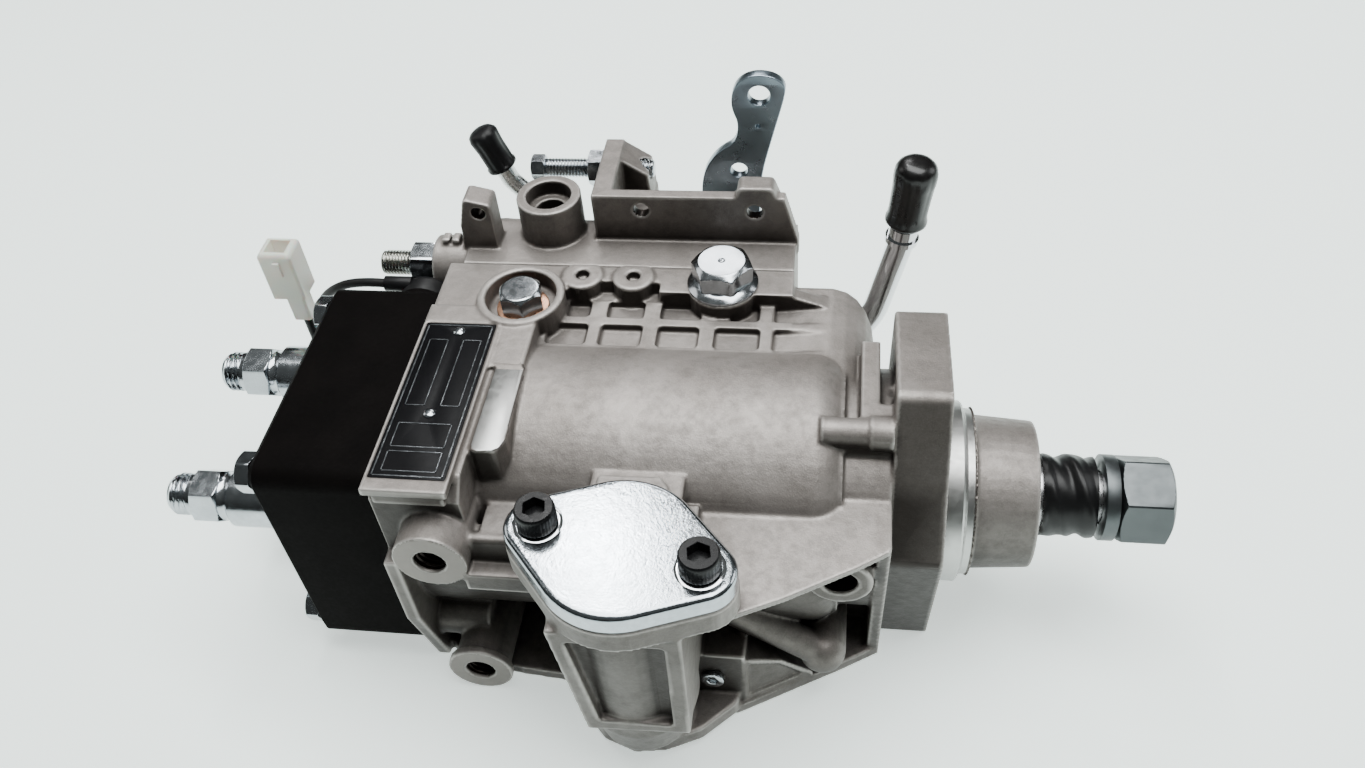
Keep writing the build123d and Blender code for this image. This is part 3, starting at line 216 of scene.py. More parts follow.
def plain_material(name, color, rough, metallic=0.0, grain=600, grain_strength=0.15, spread=0.25, coat=0.0):
    m, nt, bs, co = new_mat(name)
    n1 = noise(nt, co, grain, 4.0, 0.6)
    n2 = noise(nt, co, grain / 9, 3.0, 0.5)
    lo = tuple(c * (1 - spread) for c in color)
    hi = tuple(min(1, c * (1 + spread)) for c in color)
    nt.links.new(ramp(nt, n2, [(0.3, lo), (0.7, hi)]), bs.inputs["Base Color"])
    bs.inputs["Metallic"].default_value = metallic
    nt.links.new(ramp(nt, n1, [(0.25, max(0.03, rough - 0.07)), (0.8, min(1, rough + 0.09))]), bs.inputs["Roughness"])
    if coat:
        bs.inputs["Coat Weight"].default_value = coat
        bs.inputs["Coat Roughness"].default_value = 0.08
    bump(nt, bs, [(n1, grain_strength, 0.00015)])
    return m


mats = {
    "cast": cast_material(),
    "castplain": cast_material("cast_plain", painted_light=False),
    "head": plain_material("head_black", (0.0026, 0.0021, 0.0020), 0.70, 0.0, 900, 0.22, 0.25),
    "zinc": zinc_material("zinc_plate", (0.50, 0.53, 0.56), 0.13, 0.24, 0.14, 0.03),
    "zinccover": zinc_material("zinc_sheet", (0.46, 0.50, 0.535), 0.12, 0.21, 0.14, 0.19),
    "lever": plain_material("zinc_blue", (0.23, 0.275, 0.315), 0.30, 1.0, 240, 0.04, 0.10),
    "nut": plain_material("zinc_nut", (0.085, 0.093, 0.096), 0.40, 1.0, 300, 0.06, 0.10),
    "blackscrew": plain_material("black_oxide", (0.004, 0.004, 0.0045), 0.30, 0.0, 900, 0.05, 0.2),
    "chrome": plain_material("chrome", (0.62, 0.63, 0.65), 0.07, 1.0, 300, 0.02, 0.03),
    "satin": plain_material("satin_tube", (0.62, 0.63, 0.62), 0.28, 1.0, 700, 0.05, 0.1),
    "glossblack": plain_material("gloss_black", (0.0045, 0.004, 0.004), 0.30, 0.0, 400, 0.05, 0.2, 0.10),
    "matteblack": plain_material("matte_black", (0.005, 0.005, 0.0055), 0.42, 0.0, 800, 0.15, 0.2),
    "rubber": plain_material("rubber", (0.010, 0.010, 0.010), 0.45, 0.0, 900, 0.15, 0.2),
    "tape": plain_material("tape", (0.0045, 0.0045, 0.0048), 0.36, 0.0, 260, 0.25, 0.2),
    "nylon": plain_material("nylon", (0.80, 0.81, 0.73), 0.42, 0.0, 500, 0.06, 0.04),
    "plate": plain_material("plate_black", (0.0040, 0.0040, 0.0048), 0.45, 0.0, 700, 0.06, 0.2),
    "copper": plain_material("copper", (0.72, 0.40, 0.26), 0.30, 1.0, 700, 0.1, 0.15),
    "bronze": plain_material("bronze", (0.60, 0.46, 0.26), 0.35, 1.0, 700, 0.1, 0.1),
    "steel": plain_material("ground_steel", (0.50, 0.50, 0.51), 0.28, 1.0, 900, 0.08, 0.1),
    "spring": plain_material("spring_steel", (0.30, 0.31, 0.33), 0.30, 1.0, 900, 0.05, 0.1),
    "machined": plain_material("machined_aluminium", (0.44, 0.44, 0.43), 0.36, 1.0, 500, 0.06, 0.10),
    "faced": plain_material("faced_casting", (0.160, 0.145, 0.134), 0.42, 0.8, 500, 0.12, 0.12),
    "thread": plain_material("thread_steel", (0.40, 0.40, 0.37), 0.24, 1.0, 500, 0.06, 0.12),
    # painted shade: dark colour for the insides of bolt holes and the threads in the bracket bosses
    "hole_shade": plain_material("hole_painted_shade", (0.022, 0.015, 0.011), 0.38, 0.6, 500, 0.2, 0.2),
}
for quiet, level in (("head", 0.03), ("plate", 0.10), ("blackscrew", 0.20), ("tape", 0.25), ("matteblack", 0.20), ("glossblack", 0.35), ("rubber", 0.15)):
    mats[quiet].node_tree.nodes["Principled BSDF"].inputs["Specular IOR Level"].default_value = level
nyl = mats["nylon"].node_tree.nodes["Principled BSDF"]
nyl.inputs["Transmission Weight"].default_value = 0.25
nyl.inputs["Subsurface Weight"].default_value = 0.35
nyl.inputs["Subsurface Scale"].default_value = 0.004
slot_to_mat = {
    "housing_casting": "castplain", "head_black": "head", "zinc_steel": "zinc", "black_screws": "blackscrew", "chrome": "chrome",
    "black_caps": "glossblack", "black_matte": "matteblack", "black_rubber": "rubber", "white_nylon": "nylon",
    "nameplate_black": "plate", "copper": "copper", "bronze": "bronze", "spring_steel": "spring", "ground_steel": "steel",
}
own = {"control_lever": "lever", "shaft_nut": "nut", "overflow_pipe": "satin", "shaft_tape": "tape", "timer_cover": "zinccover", "shaft_washer": "nut"}
slot_of = {s["node"]: s["material_slot"] for s in frame["record"]["subparts"]}
body_of = {}
for body_name, body_nodes in frame["record"]["behaviour"]["bodies"].items():
    for n in body_nodes:
        body_of[n] = body_name


def set_mat(obj, *names):
    obj.data.materials.clear()
    for n in names:
        obj.data.materials.append(mats[n])


for name, obj in nodes.items():
    set_mat(obj, own.get(name, slot_to_mat[slot_of[name]]))


# ------------------------------------------------------------------ shapes
def finish_piece(ob, stands_for=(), body=None, sharp=38):
    """Smooth shading with kept sharp edges, body and replaced nodes."""
    ob.data.shade_smooth()
    ob.data.set_sharp_from_angle(angle=math.radians(sharp))
    first = stands_for[0] if stands_for else None
    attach(ob, body or body_of[first])
    if stands_for:
        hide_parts(*stands_for)
    return ob


def link_mesh(name, me):
    ob = bpy.data.objects.new(name, me)
    scene.collection.objects.link(ob)
    return ob


def evaluated(ob):
    """The object's mesh with its modifiers applied, as an object without modifiers."""
    dg = bpy.context.evaluated_depsgraph_get()
    me = bpy.data.meshes.new_from_object(ob.evaluated_get(dg), depsgraph=dg)
    me.name = ob.name
    ob.modifiers.clear()
    ob.data = me
    return ob


def soften(node, width, mat=None, segments=2, angle=30):
    """A copy of a CAD node with its sharp edges broken."""
    me = nodes[node].data.copy()
    bm = bmesh.new()
    bm.from_mesh(me)
    bmesh.ops.remove_doubles(bm, verts=bm.verts, dist=2e-6)
    bmesh.ops.dissolve_limit(bm, angle_limit=math.radians(1.2), verts=bm.verts, edges=bm.edges)
    bm.to_mesh(me)
    bm.free()
    ob = link_mesh(node + "_soft", me)
    bv = ob.modifiers.new("edge", "BEVEL")
    bv.width = width * MM
    bv.segments = segments
    bv.limit_method = "ANGLE"
    bv.angle_limit = math.radians(angle)
    bv.use_clamp_overlap = True
    evaluated(ob)
    set_mat(ob, mat or own.get(node, slot_to_mat[slot_of[node]]))
    return finish_piece(ob, (node,), sharp=55)


def smooth_copy(node, sharp=35):
    """A copy of a CAD node with smooth shading over its welded mesh."""
    me = nodes[node].data.copy()
    bm = bmesh.new()
    bm.from_mesh(me)
    bmesh.ops.remove_doubles(bm, verts=bm.verts, dist=2e-6)
    bm.to_mesh(me)
    bm.free()
    ob = link_mesh(node + "_smooth", me)
    set_mat(ob, own.get(node, slot_to_mat[slot_of[node]]))
    return finish_piece(ob, (node,), sharp=sharp)


def flat_normals(ob):
    """Large faces keep their own direction, so the broken edges carry the turn."""
    me = ob.data
    total = np.zeros((len(me.vertices), 3))
    for f in me.polygons:
        for v in f.vertices:
            total[v] += np.array(f.normal) * f.area
    total /= np.maximum(np.linalg.norm(total, axis=1), 1e-12)[:, None]
    me.normals_split_custom_set_from_vertices([tuple(v) for v in total])
    return ob


def basis(direction, up_hint=(0, 0, 1)):
    d = Vector(direction).normalized()
    h = Vector(up_hint)
    if abs(d.dot(h)) > 0.95:
        h = Vector((0, 1, 0))
    u = (h - d * h.dot(d)).normalized()
    return d, u, d.cross(u)


class Shape:
    """Verts, faces and material indices gathered from several turned pieces, in mm."""

    def __init__(self):
        self.v, self.f, self.m = [], [], []

    def turned(self, origin, direction, profile, nth=72, mat=0, up_hint=(0, 0, 1), phase=0.0, caps=True, axis=None):
        """profile: (distance along, radius) where a radius may be a function of the angle."""
        d, u, w = basis(direction, up_hint)
        o = Vector(origin)
        base = len(self.v)
        for x, r in profile:
            for k in range(nth):
                th = phase + 2 * math.pi * k / nth
                rr = r(th) if callable(r) else r
                p = o + d * x + (u * math.cos(th) + w * math.sin(th)) * rr
                self.v.append((p.x * MM, p.y * MM, p.z * MM))
        n = len(profile)
        for i in range(n - 1):
            for k in range(nth):
                a = base + i * nth + k
                b = base + i * nth + (k + 1) % nth
                self.f.append((a, b, b + nth, a + nth))
                self.m.append(mat)
        if caps:
            self.f.append(tuple(base + k for k in reversed(range(nth))))
            self.m.append(mat)
            self.f.append(tuple(base + (n - 1) * nth + k for k in range(nth)))
            self.m.append(mat)

    def object(self, name, mat_names, stands_for=(), body=None, sharp=38):
        me = bpy.data.meshes.new(name)
        me.from_pydata(self.v, [], self.f)
        me.update()
        me.polygons.foreach_set("material_index", self.m)
        bm = bmesh.new()
        bm.from_mesh(me)
        bmesh.ops.recalc_face_normals(bm, faces=bm.faces)
        bm.to_mesh(me)
        bm.free()
        ob = link_mesh(name, me)
        set_mat(ob, *mat_names)
        return finish_piece(ob, stands_for, body, sharp)


def hexr(af, rot=0.0, cap=None):
    """Radius of a hexagon of that width across flats, as a function of the angle."""
    def r(th):
        t = (th - math.radians(rot)) % (math.pi / 3) - math.pi / 6
        v = af / 2 / math.cos(t)
        return min(v, cap) if cap else v
    return r


def hex_profile(x0, x1, af, rot=0.0, c0=0.96, c1=0.96, steps=7):
    """Hexagon whose ends are chamfered to a circle of c0 and c1 times the flats."""
    h = hexr(af, rot, af * 0.5 * 1.148)
    out = []
    rc0, rc1 = af / 2 * c0, af / 2 * c1
    rmax = af * 0.5 * 1.155
    tan = math.tan(math.radians(28))
    for i in range(steps + 1):
        rr = rc0 + (rmax - rc0) * i / steps
        out.append((x0 + (rr - rc0) * tan, lambda th, rr=rr: min(h(th), rr)))
    for i in range(steps, -1, -1):
        rr = rc1 + (rmax - rc1) * i / steps
        out.append((x1 - (rr - rc1) * tan, lambda th, rr=rr: min(h(th), rr)))
    return out


def thread_profile(x0, x1, r, pitch, depth=None, per=8):
    depth = depth or pitch * 0.5
    n = max(4, int(round((x1 - x0) / pitch * per)))
    out = []
    for i in range(n + 1):
        x = x0 + (x1 - x0) * i / n
        end = min(1.0, (x - x0) / (pitch * 0.6), (x1 - x) / (pitch * 0.6))

        def f(th, x=x, end=end):
            ph = (x / pitch - th / (2 * math.pi)) % 1.0
            tri = 1 - abs(2 * ph - 1)
            tri = min(1.0, max(0.0, (tri - 0.12) / 0.76))
            return r - depth * (1 - tri * max(0.0, end))
        out.append((x, f))
    return out


# ---------------------------------------------------------------- castings
def add_box(bm, lo, hi):
    m = Matrix.Translation(((lo[0] + hi[0]) / 2 * MM, (lo[1] + hi[1]) / 2 * MM, (lo[2] + hi[2]) / 2 * MM))
    s = Matrix.Diagonal(((hi[0] - lo[0]) * MM, (hi[1] - lo[1]) * MM, (hi[2] - lo[2]) * MM, 1))
    bmesh.ops.create_cube(bm, size=1.0, matrix=m @ s)


def add_cylinder_x(bm, x0, x1, y, z, r, top=None):
    """A filler along X; with a top, what stands above that Y is pressed flat."""
    m = Matrix.Translation(((x0 + x1) / 2 * MM, y * MM, z * MM)) @ Matrix.Rotation(math.pi / 2, 4, "Y")
    made = bmesh.ops.create_cone(bm, cap_ends=True, segments=64, radius1=r * MM, radius2=r * MM, depth=(x1 - x0) * MM, matrix=m)
    if top is not None:
        for v in made["verts"]:
            v.co.y = min(v.co.y, top * MM)


def sphere_directions(n):
    out = []
    for i in range(n):
        z = 1 - (2 * i + 1) / n
        a = math.pi * (1 + 5 ** 0.5) * i
        s = math.sqrt(max(0, 1 - z * z))
        out.append((math.cos(a) * s, math.sin(a) * s, z))
    return np.array(out)


# painted light: a vertex colour of painted shade (red) and painted edge highlight (green)
def painted_light_attribute(ob, reach=16.0, rays=18):
    from mathutils.bvhtree import BVHTree
    me = ob.data
    n = len(me.vertices)
    co = np.zeros(n * 3)
    no = np.zeros(n * 3)
    me.vertices.foreach_get("co", co)
    me.vertices.foreach_get("normal", no)
    co, no = co.reshape(-1, 3), no.reshape(-1, 3)
    # painted shade: closed-in spots, by rays
    bm = bmesh.new()
    bm.from_mesh(me)
    tree = BVHTree.FromBMesh(bm)
    bm.free()
    dirs = sphere_directions(rays)
    shut = np.zeros(n)
    lim = reach * MM
    for i in range(n):
        p, q = co[i], no[i]
        dd = dirs + q * 1.02
        dd /= np.linalg.norm(dd, axis=1)[:, None]
        o = Vector(p + q * 0.00025)
        a = 0.0
        for d in dd:
            hit = tree.ray_cast(o, Vector(d), lim)
            if hit[0] is not None:
                a += 1.0 - 0.55 * hit[3] / lim
        shut[i] = a / rays
    # painted highlight: edges, by the curvature along the mesh
    ed = np.zeros(len(me.edges) * 2, dtype=np.int64)
    me.edges.foreach_get("vertices", ed)
    ed = ed.reshape(-1, 2)
    dv = co[ed[:, 1]] - co[ed[:, 0]]
    ln = np.linalg.norm(dv, axis=1) + 1e-9
    c1 = -np.einsum("ij,ij->i", dv, no[ed[:, 0]]) / ln
    c2 = np.einsum("ij,ij->i", dv, no[ed[:, 1]]) / ln
    cur = np.zeros(n)
    cnt = np.zeros(n)
    np.add.at(cur, ed[:, 0], c1)
    np.add.at(cur, ed[:, 1], c2)
    np.add.at(cnt, ed[:, 0], 1)
    np.add.at(cnt, ed[:, 1], 1)
    cur /= np.maximum(cnt, 1)
    for _ in range(2):
        acc = cur.copy()
        num = np.ones(n)
        np.add.at(acc, ed[:, 0], cur[ed[:, 1]])
        np.add.at(acc, ed[:, 1], cur[ed[:, 0]])
        np.add.at(num, ed[:, 0], 1)
        np.add.at(num, ed[:, 1], 1)
        cur = acc / num
        acc = shut.copy()
        num = np.ones(n)
        np.add.at(acc, ed[:, 0], shut[ed[:, 1]])
        np.add.at(acc, ed[:, 1], shut[ed[:, 0]])
        np.add.at(num, ed[:, 0], 1)
        np.add.at(num, ed[:, 1], 1)
        shut = acc / num
    edge = np.clip(cur * 5.5 - 0.1, 0, 1) * (1 - 0.6 * np.clip((shut - 0.2) * 2, 0, 1))
    crease = np.clip(-cur * 2.5, 0, 1)
    # painted shade: faces turned towards the camera side and downward are darkened
    facing = np.clip(-no[:, 1] * 1.05 - no[:, 2] * 0.47 - 0.15, 0, 1)
    # painted shade: the flange's edge faces and the web under the shelf are made the darkest of the lit side
    low_side = np.clip(-no[:, 1] - 0.55, 0, 0.45) * ((co[:, 0] > -13.5 * MM) & (co[:, 0] < 0.5 * MM)) * 1.0
    red = np.clip((shut - 0.12) * 1.25 + crease * 0.45 + facing * np.where(co[:, 1] > 47 * MM, 0.66, 0.88) + low_side, 0, 1)
    col = np.ones((n, 4), dtype=np.float32)
    col[:, 0] = red
    col[:, 1] = edge
    col[:, 2] = 0
    at = me.color_attributes.new(name="painted_light", type="FLOAT_COLOR", domain="POINT")
    at.data.foreach_set("color", col.ravel())


def casting(node, fill, voxel, smooth, limit, machined=None):
    bm = bmesh.new()
    bm.from_mesh(nodes[node].data)
    for kind, *a in fill:
        (add_box if kind == "box" else add_cylinder_x)(bm, *a)
    bmesh.ops.triangulate(bm, faces=bm.faces)
    me = bpy.data.meshes.new(node + "_cast")
    bm.to_mesh(me)
    bm.free()
    ob = link_mesh(node + "_cast", me)
    rm = ob.modifiers.new("shell", "REMESH")
    rm.mode = "VOXEL"
    rm.voxel_size = voxel * MM
    rm.adaptivity = 0.0
    sm = ob.modifiers.new("round", "SMOOTH")
    sm.factor = 0.5
    sm.iterations = smooth
    evaluated(ob)
    quads = len(ob.data.polygons)
    if quads * 2 > limit:
        dc = ob.modifiers.new("fewer", "DECIMATE")
        dc.ratio = limit / (quads * 2.0)
        evaluated(ob)
    # nothing may stand out of the CAD box
    lo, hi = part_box(node)
    me = ob.data
    co = np.zeros(len(me.vertices) * 3)
    me.vertices.foreach_get("co", co)
    co = np.clip(co.reshape(-1, 3), np.array(lo), np.array(hi))
    if node == "pump_housing":
        co = keep_ring_clear(co)
    me.vertices.foreach_set("co", co.ravel())
    me.update()
    painted_light_attribute(ob)
    set_mat(ob, "cast", "faced", "hole_shade")
    # index 1 is the machined face material, index 2 the painted shade of hole insides
    if machined:
        cen = np.zeros(len(me.polygons) * 3)
        nor = np.zeros(len(me.polygons) * 3)
        me.polygons.foreach_get("center", cen)
        me.polygons.foreach_get("normal", nor)
        cen, nor = cen.reshape(-1, 3) * 1000, nor.reshape(-1, 3)
        me.polygons.foreach_set("material_index", machined(cen, nor).astype(np.int32))
        me.update()
    me.shade_smooth()
    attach(ob, "casing")
    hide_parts(node)
    return ob


def housing_faces_and_hole_shade(c, n):
    x, y, z = c.T
    r = np.hypot(y, z)
    pad = (x > -121) & (x < -111) & (y > -27.5) & (y < 4.6) & (z > 38.5)
    pilot = (x > -0.3) & (x < 8.4) & (r > 21.6) & (r < 25.2)
    boss_ends = (n[:, 1] < -0.95) & (np.abs(y + 48) < 0.25) & (np.hypot(x + 129.3, z - 19.6) < 9.4) & (np.hypot(x + 129.3, z - 19.6) > 4.9)
    boss_ends |= (n[:, 1] < -0.95) & (np.abs(y + 46) < 0.25) & (np.hypot(x + 127.5, z + 36.2) < 8.7) & (np.hypot(x + 127.5, z + 36.2) > 4.9)
    small = (z > 35.5) & (z < 36.9) & (n[:, 2] > 0.9) & ((np.hypot(x + 103.8, y - 42.4) < 1.9) | (np.hypot(x + 88.5, y - 42.2) < 1.9))
    out = (boss_ends | small | pad | pilot).astype(int)
    # painted shade: the insides of these bolt holes take the dark hole material
    for hx, hz, hr, y0 in ((-129.3, 19.6, 4.6, -47.2), (-127.5, -36.2, 4.6, -45.2), (-26.2, 8.8, 4.6, -38.6)):
        out[(np.hypot(x - hx, z - hz) < hr) & (y > y0) & (y < -30)] = 2
    return out


def cover_hole_shade(c, n):
    x, y, z = c.T
    out = np.zeros(len(x), dtype=int)
    # painted shade: the insides of the screw holes take the dark hole material
    for hx in (-87.8, -54.4):
        out[(np.hypot(x - hx, z - 49.1) < 2.5) & (y > 59.9) & (y < 70)] = 2
    out[(np.hypot(x + 135.6, z - 51) < 2.3) & (y > 54.4) & (y < 62)] = 2
    return out


def keep_ring_clear(co):
    """The turned ring of the pilot stands just outside the cast surface."""
    q = co * 1000
    r = np.hypot(q[:, 1], q[:, 2])
    lim = np.where(q[:, 0] < 5.4, 24.5, 22.3)
    hit = (q[:, 0] > 0.6) & (q[:, 0] < 8.0) & (r > lim)
    k = np.where(hit, lim / np.maximum(r, 1e-6), 1.0)
    co[:, 1] *= k
    co[:, 2] *= k
    return co


housing = casting("pump_housing", [
    ("cyl", -144.0, -110.0, 0, 0, 35.0), ("cyl", -110.2, -42.0, 0, 0, 35.0, 27.0), ("cyl", -42.2, -26.5, 0, 0, 35.0), ("cyl", -30, 24.0, 0, 0, 15.0), ("box", (-125.3, 0, -29.8), (-110.0, 46.9, 29.8)),
    ("box", (-110.0, 0, -29.8), (-42.0, 27.0, 29.8)), ("box", (-110.0, 26.9, -29.8), (-42.0, 46.9, -20.5)),
    ("box", (-110.0, 26.9, 20.5), (-42.0, 46.9, 29.8)), ("box", (-90, -62, -26), (-66, -20, 30))], 0.52, 2, 190000, housing_faces_and_hole_shade)
cover = casting("governor_cover", [
    ("box", (-124.5, 47.1, -29.0), (-110.0, 66.0, 29.0)), ("box", (-110.1, 47.1, -29.0), (-46.5, 66.0, -20.5)),
    ("box", (-110.1, 47.1, 20.5), (-46.5, 66.0, 29.0)), ("box", (-110.1, 63.2, -20.6), (-46.5, 66.0, 20.6))], 0.45, 2, 150000, cover_hole_shade)

# machined ring of the pilot and machined pad, with crisp edges
sh = Shape()
sh.turned((0, 0, 0), (1, 0, 0), [(0.1, 23.6), (0.1, 24.4), (0.5, 24.95), (4.6, 25.0), (5.2, 24.5), (5.25, 23.5), (5.9, 22.95), (7.6, 22.9), (8.2, 22.4), (8.3, 21.5)],
          160, up_hint=(0, 1, 0), caps=False)
ring = sh.object("pilot_ring", ("machined",), (), "casing")
pad_line = [(-120.2, -24.6), (-119.6, -26.0), (-118.4, -26.6), (-114.6, -26.3), (-112.9, -25.2), (-112.1, -23.0), (-112.6, 3.2), (-113.6, 4.1), (-119.8, 4.1), (-120.2, 3.4)]
v = [(x * MM, y * MM, 38.6 * MM) for x, y in pad_line] + [(x * MM, y * MM, 39.06 * MM) for x, y in pad_line]
k = len(pad_line)
f = [tuple(range(k, 2 * k)), tuple(reversed(range(k)))] + [(i, (i + 1) % k, k + (i + 1) % k, k + i) for i in range(k)]
me = bpy.data.meshes.new("machined_pad")
me.from_pydata(v, [], f)
ob = link_mesh("machined_pad", me)
bv = ob.modifiers.new("edge", "BEVEL")
bv.width = 0.12 * MM
bv.segments = 2
evaluated(ob)
set_mat(ob, "machined")
finish_piece(ob, (), "casing", 40)

# threads seen inside the two bracket bosses, in the dark hole material as painted shade
sh = Shape()
for hx, hz, y0 in ((-129.3, 19.6, -46.9), (-127.5, -36.2, -44.9)):
    sh.turned((hx, 0, hz), (0, 1, 0), thread_profile(y0, y0 + 9.0, 4.55, 1.5, 0.75), 56, caps=False)
ob = sh.object("boss_threads", ("hole_shade",), (), "casing")

# ------------------------------------------------------------- hard pieces
soften("distributor_head", 0.55, segments=3)
flat_normals(soften("timer_cover", 0.5, segments=3))
smooth_copy("overflow_pipe")

# springs inside, as smooth copies with meshes of their own
for node, joint, k, fixed, travel in (("timer_spring", "timer_slide", 2, 33.2, 7.0), ("delivery_valve_springs", "delivery_valve_lift", 0, -189.7, 2.5)):
    ob = smooth_copy(node)
    v = np.array([vv.co[k] for vv in ob.data.vertices]) * 1000
    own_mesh(ob)


def corner_cut(pts, keep=(), turns=2):
    """The outline with its corners cut, which stays inside the first one on convex runs."""
    for _ in range(turns):
        out = []
        for i in range(len(pts)):
            a, b = pts[i], pts[(i + 1) % len(pts)]
            out.append((a[0] * 0.75 + b[0] * 0.25, a[1] * 0.75 + b[1] * 0.25))
            out.append((a[0] * 0.25 + b[0] * 0.75, a[1] * 0.25 + b[1] * 0.75))
        pts = out
    return pts


lever_line = [(-55.0, 24), (-54.6, 43.2), (-50.4, 59.6), (-46.4, 74.2), (-47.0, 76.8), (-49.2, 78.9), (-52.6, 79.9), (-56.2, 79.8), (-59.4, 78.4),
              (-61.6, 75.8), (-62.5, 72.3), (-62.4, 68.4), (-60.5, 63.4), (-61.8, 57.0), (-66.2, 54.3), (-69.2, 51.0), (-71.2, 47.4), (-72.5, 42.8),
              (-72.9, 37.7), (-72.0, 31), (-68.4, 22), (-66.4, 14), (-63.2, 10), (-63.2, 0), (-53.4, 0), (-53.0, 10), (-52.6, 16)]
cu = bpy.data.curves.new("lever_outline", "CURVE")
cu.dimensions = "2D"
cu.fill_mode = "BOTH"
cu.extrude = (1.7 - 0.4) * MM
cu.bevel_depth = 0.4 * MM
cu.bevel_resolution = 2
cu.offset = -0.4 * MM
rings = [corner_cut(lever_line)]
for hx, hz, hr in ((-54.3, 73.2, 3.2), (-60.9, 47.1, 2.6), (-58.0, 20.0, 4.05), (-54.8, 63.0, 0.6)):
    rings.append([(hx + hr * math.cos(2 * math.pi * k / 40), hz + hr * math.sin(2 * math.pi * k / 40)) for k in range(40)])
for line in rings:
    sp = cu.splines.new("POLY")
    sp.points.add(len(line) - 1)
    for pt, (x, z) in zip(sp.points, line):
        pt.co = (x * MM, z * MM, 0, 1)
    sp.use_cyclic_u = True
tmp = bpy.data.objects.new("lever_outline", cu)
scene.collection.objects.link(tmp)
bpy.context.view_layer.update()
me = bpy.data.meshes.new_from_object(tmp.evaluated_get(bpy.context.evaluated_depsgraph_get()))
bpy.data.objects.remove(tmp)
co = np.zeros(len(me.vertices) * 3)
me.vertices.foreach_get("co", co)
co = co.reshape(-1, 3)
co = np.stack([co[:, 0], 84.5 * MM - co[:, 2], co[:, 1]], axis=1)
me.vertices.foreach_set("co", co.ravel())
me.update()
bm = bmesh.new()
bm.from_mesh(me)
bmesh.ops.remove_doubles(bm, verts=bm.verts, dist=1e-6)
bmesh.ops.recalc_face_normals(bm, faces=bm.faces)
bm.to_mesh(me)
bm.free()
ob = link_mesh("lever_plate", me)
set_mat(ob, "lever")
finish_piece(ob, ("control_lever",), sharp=40)
soften("nameplate", 0.12)
soften("shaft_washer", 0.25)
soften("solenoid_body", 0.4)
soften("timer_end_cap", 0.4)

# high pressure outlets
vr = 25.4
valve_pos = [(vr * math.cos(math.radians(a)), vr * math.sin(math.radians(a))) for a in (36.5, 156.5, 276.5)]
sh = Shape()
for i, (y, z) in enumerate(valve_pos):
    prof = [(162.0, 8.3), (193.4, 8.35), (194.2, 7.6), (194.25, 6.7), (195.0, 6.45), (196.4, 6.45), (197.0, 6.8)]
    prof += hex_profile(197.05, 205.3, 14.0, math.degrees(math.atan2(z, y)) + 12, 0.95, 0.93)
    prof += [(205.35, 6.3), (206.6, 6.2), (206.9, 5.6)]
    sh.turned((0, y, z), (-1, 0, 0), prof, 96, 0, up_hint=(0, 1, 0))
    prof = [(206.7, 5.2)] + thread_profile(206.9, 212.2, 5.98, 1.5, 0.72) + [(212.5, 5.1), (212.8, 4.9), (212.8, 4.3), (210.3, 2.6), (210.0, 1.6), (204.0, 1.5)]
    sh.turned((0, y, z), (-1, 0, 0), prof, 64, 1, up_hint=(0, 1, 0))
sh.object("outlet_holders", ("zinc", "thread"), ("delivery_valve_holders",), sharp=32)

# centre plug and head bolts
sh = Shape()
prof = [(178.2, 8.0), (178.3, 9.0)] + hex_profile(178.35, 181.6, 19.0, 0, 0.97, 0.93) + [(181.6, 5.0), (182.6, 4.9), (182.8, 4.5)]
sh.turned((0, 0, 0), (-1, 0, 0), prof, 96, 0, up_hint=(0, 1, 0))
sh.object("centre_plug", ("zinc",), ("head_centre_plug",))
sh = Shape()
for y in (-30.5, 30.5):
    for z in (-30.5, 30.5):
        prof = [(130.2, 2.7), (130.6, 3.0), (178.1, 3.0), (178.1, 4.7)] + hex_profile(178.15, 182.6, 10.0, 12, 0.97, 0.92)
        sh.turned((0, y, z), (-1, 0, 0), prof, 72, 0, up_hint=(0, 1, 0))
sh.object("head_bolt_set", ("zinc",), ("head_bolts",))

# nameplate rivets and the fine raised frames on the bare plate
sh = Shape()
for y in (16.0, -15.0):
    sh.turned((-133.8, y, 0), (0, 0, 1), [(36.3, 0.95), (39.3, 0.98), (39.42, 1.65), (39.6, 1.66), (39.85, 1.4), (40.02, 0.95), (40.08, 0.3)], 40)
sh.object("rivets", ("zinc",), ("nameplate_rivets",))


def thin_bar(v, f, a, b, w, z0, z1):
    a, b = Vector(a), Vector(b)
    d = (b - a).normalized()
    q = Vector((-d.y, d.x)) * w / 2
    a2, b2 = a - d * w / 2, b + d * w / 2
    base = len(v)
    for z in (z0, z1):
        for p in (a2 - q, b2 - q, b2 + q, a2 + q):
            v.append((p.x * MM, p.y * MM, z * MM))
    f += [(base + 3, base + 2, base + 1, base), (base + 4, base + 5, base + 6, base + 7)]
    for k in range(4):
        f.append((base + k, base + (k + 1) % 4, base + 4 + (k + 1) % 4, base + 4 + k))


v, f = [], []
for x0, x1, y0, y1, w in [(-143.0, -124.7, -36.2, 18.4, 0.35), (-141.0, -126.8, -34.6, -28.2, 0.28), (-141.0, -126.8, -26.6, -18.6, 0.28),
                          (-141.2, -136.0, -12.2, 12.6, 0.28), (-131.6, -126.6, -12.2, 12.6, 0.28)]:
    for a, b in [((x0, y0), (x1, y0)), ((x1, y0), (x1, y1)), ((x1, y1), (x0, y1)), ((x0, y1), (x0, y0))]:
        thin_bar(v, f, a, b, w, 39.3, 39.46)
me = bpy.data.meshes.new("plate_frames")
me.from_pydata(v, [], f)
ob = link_mesh("plate_frames", me)
set_mat(ob, "zinc")
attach(ob, "casing")

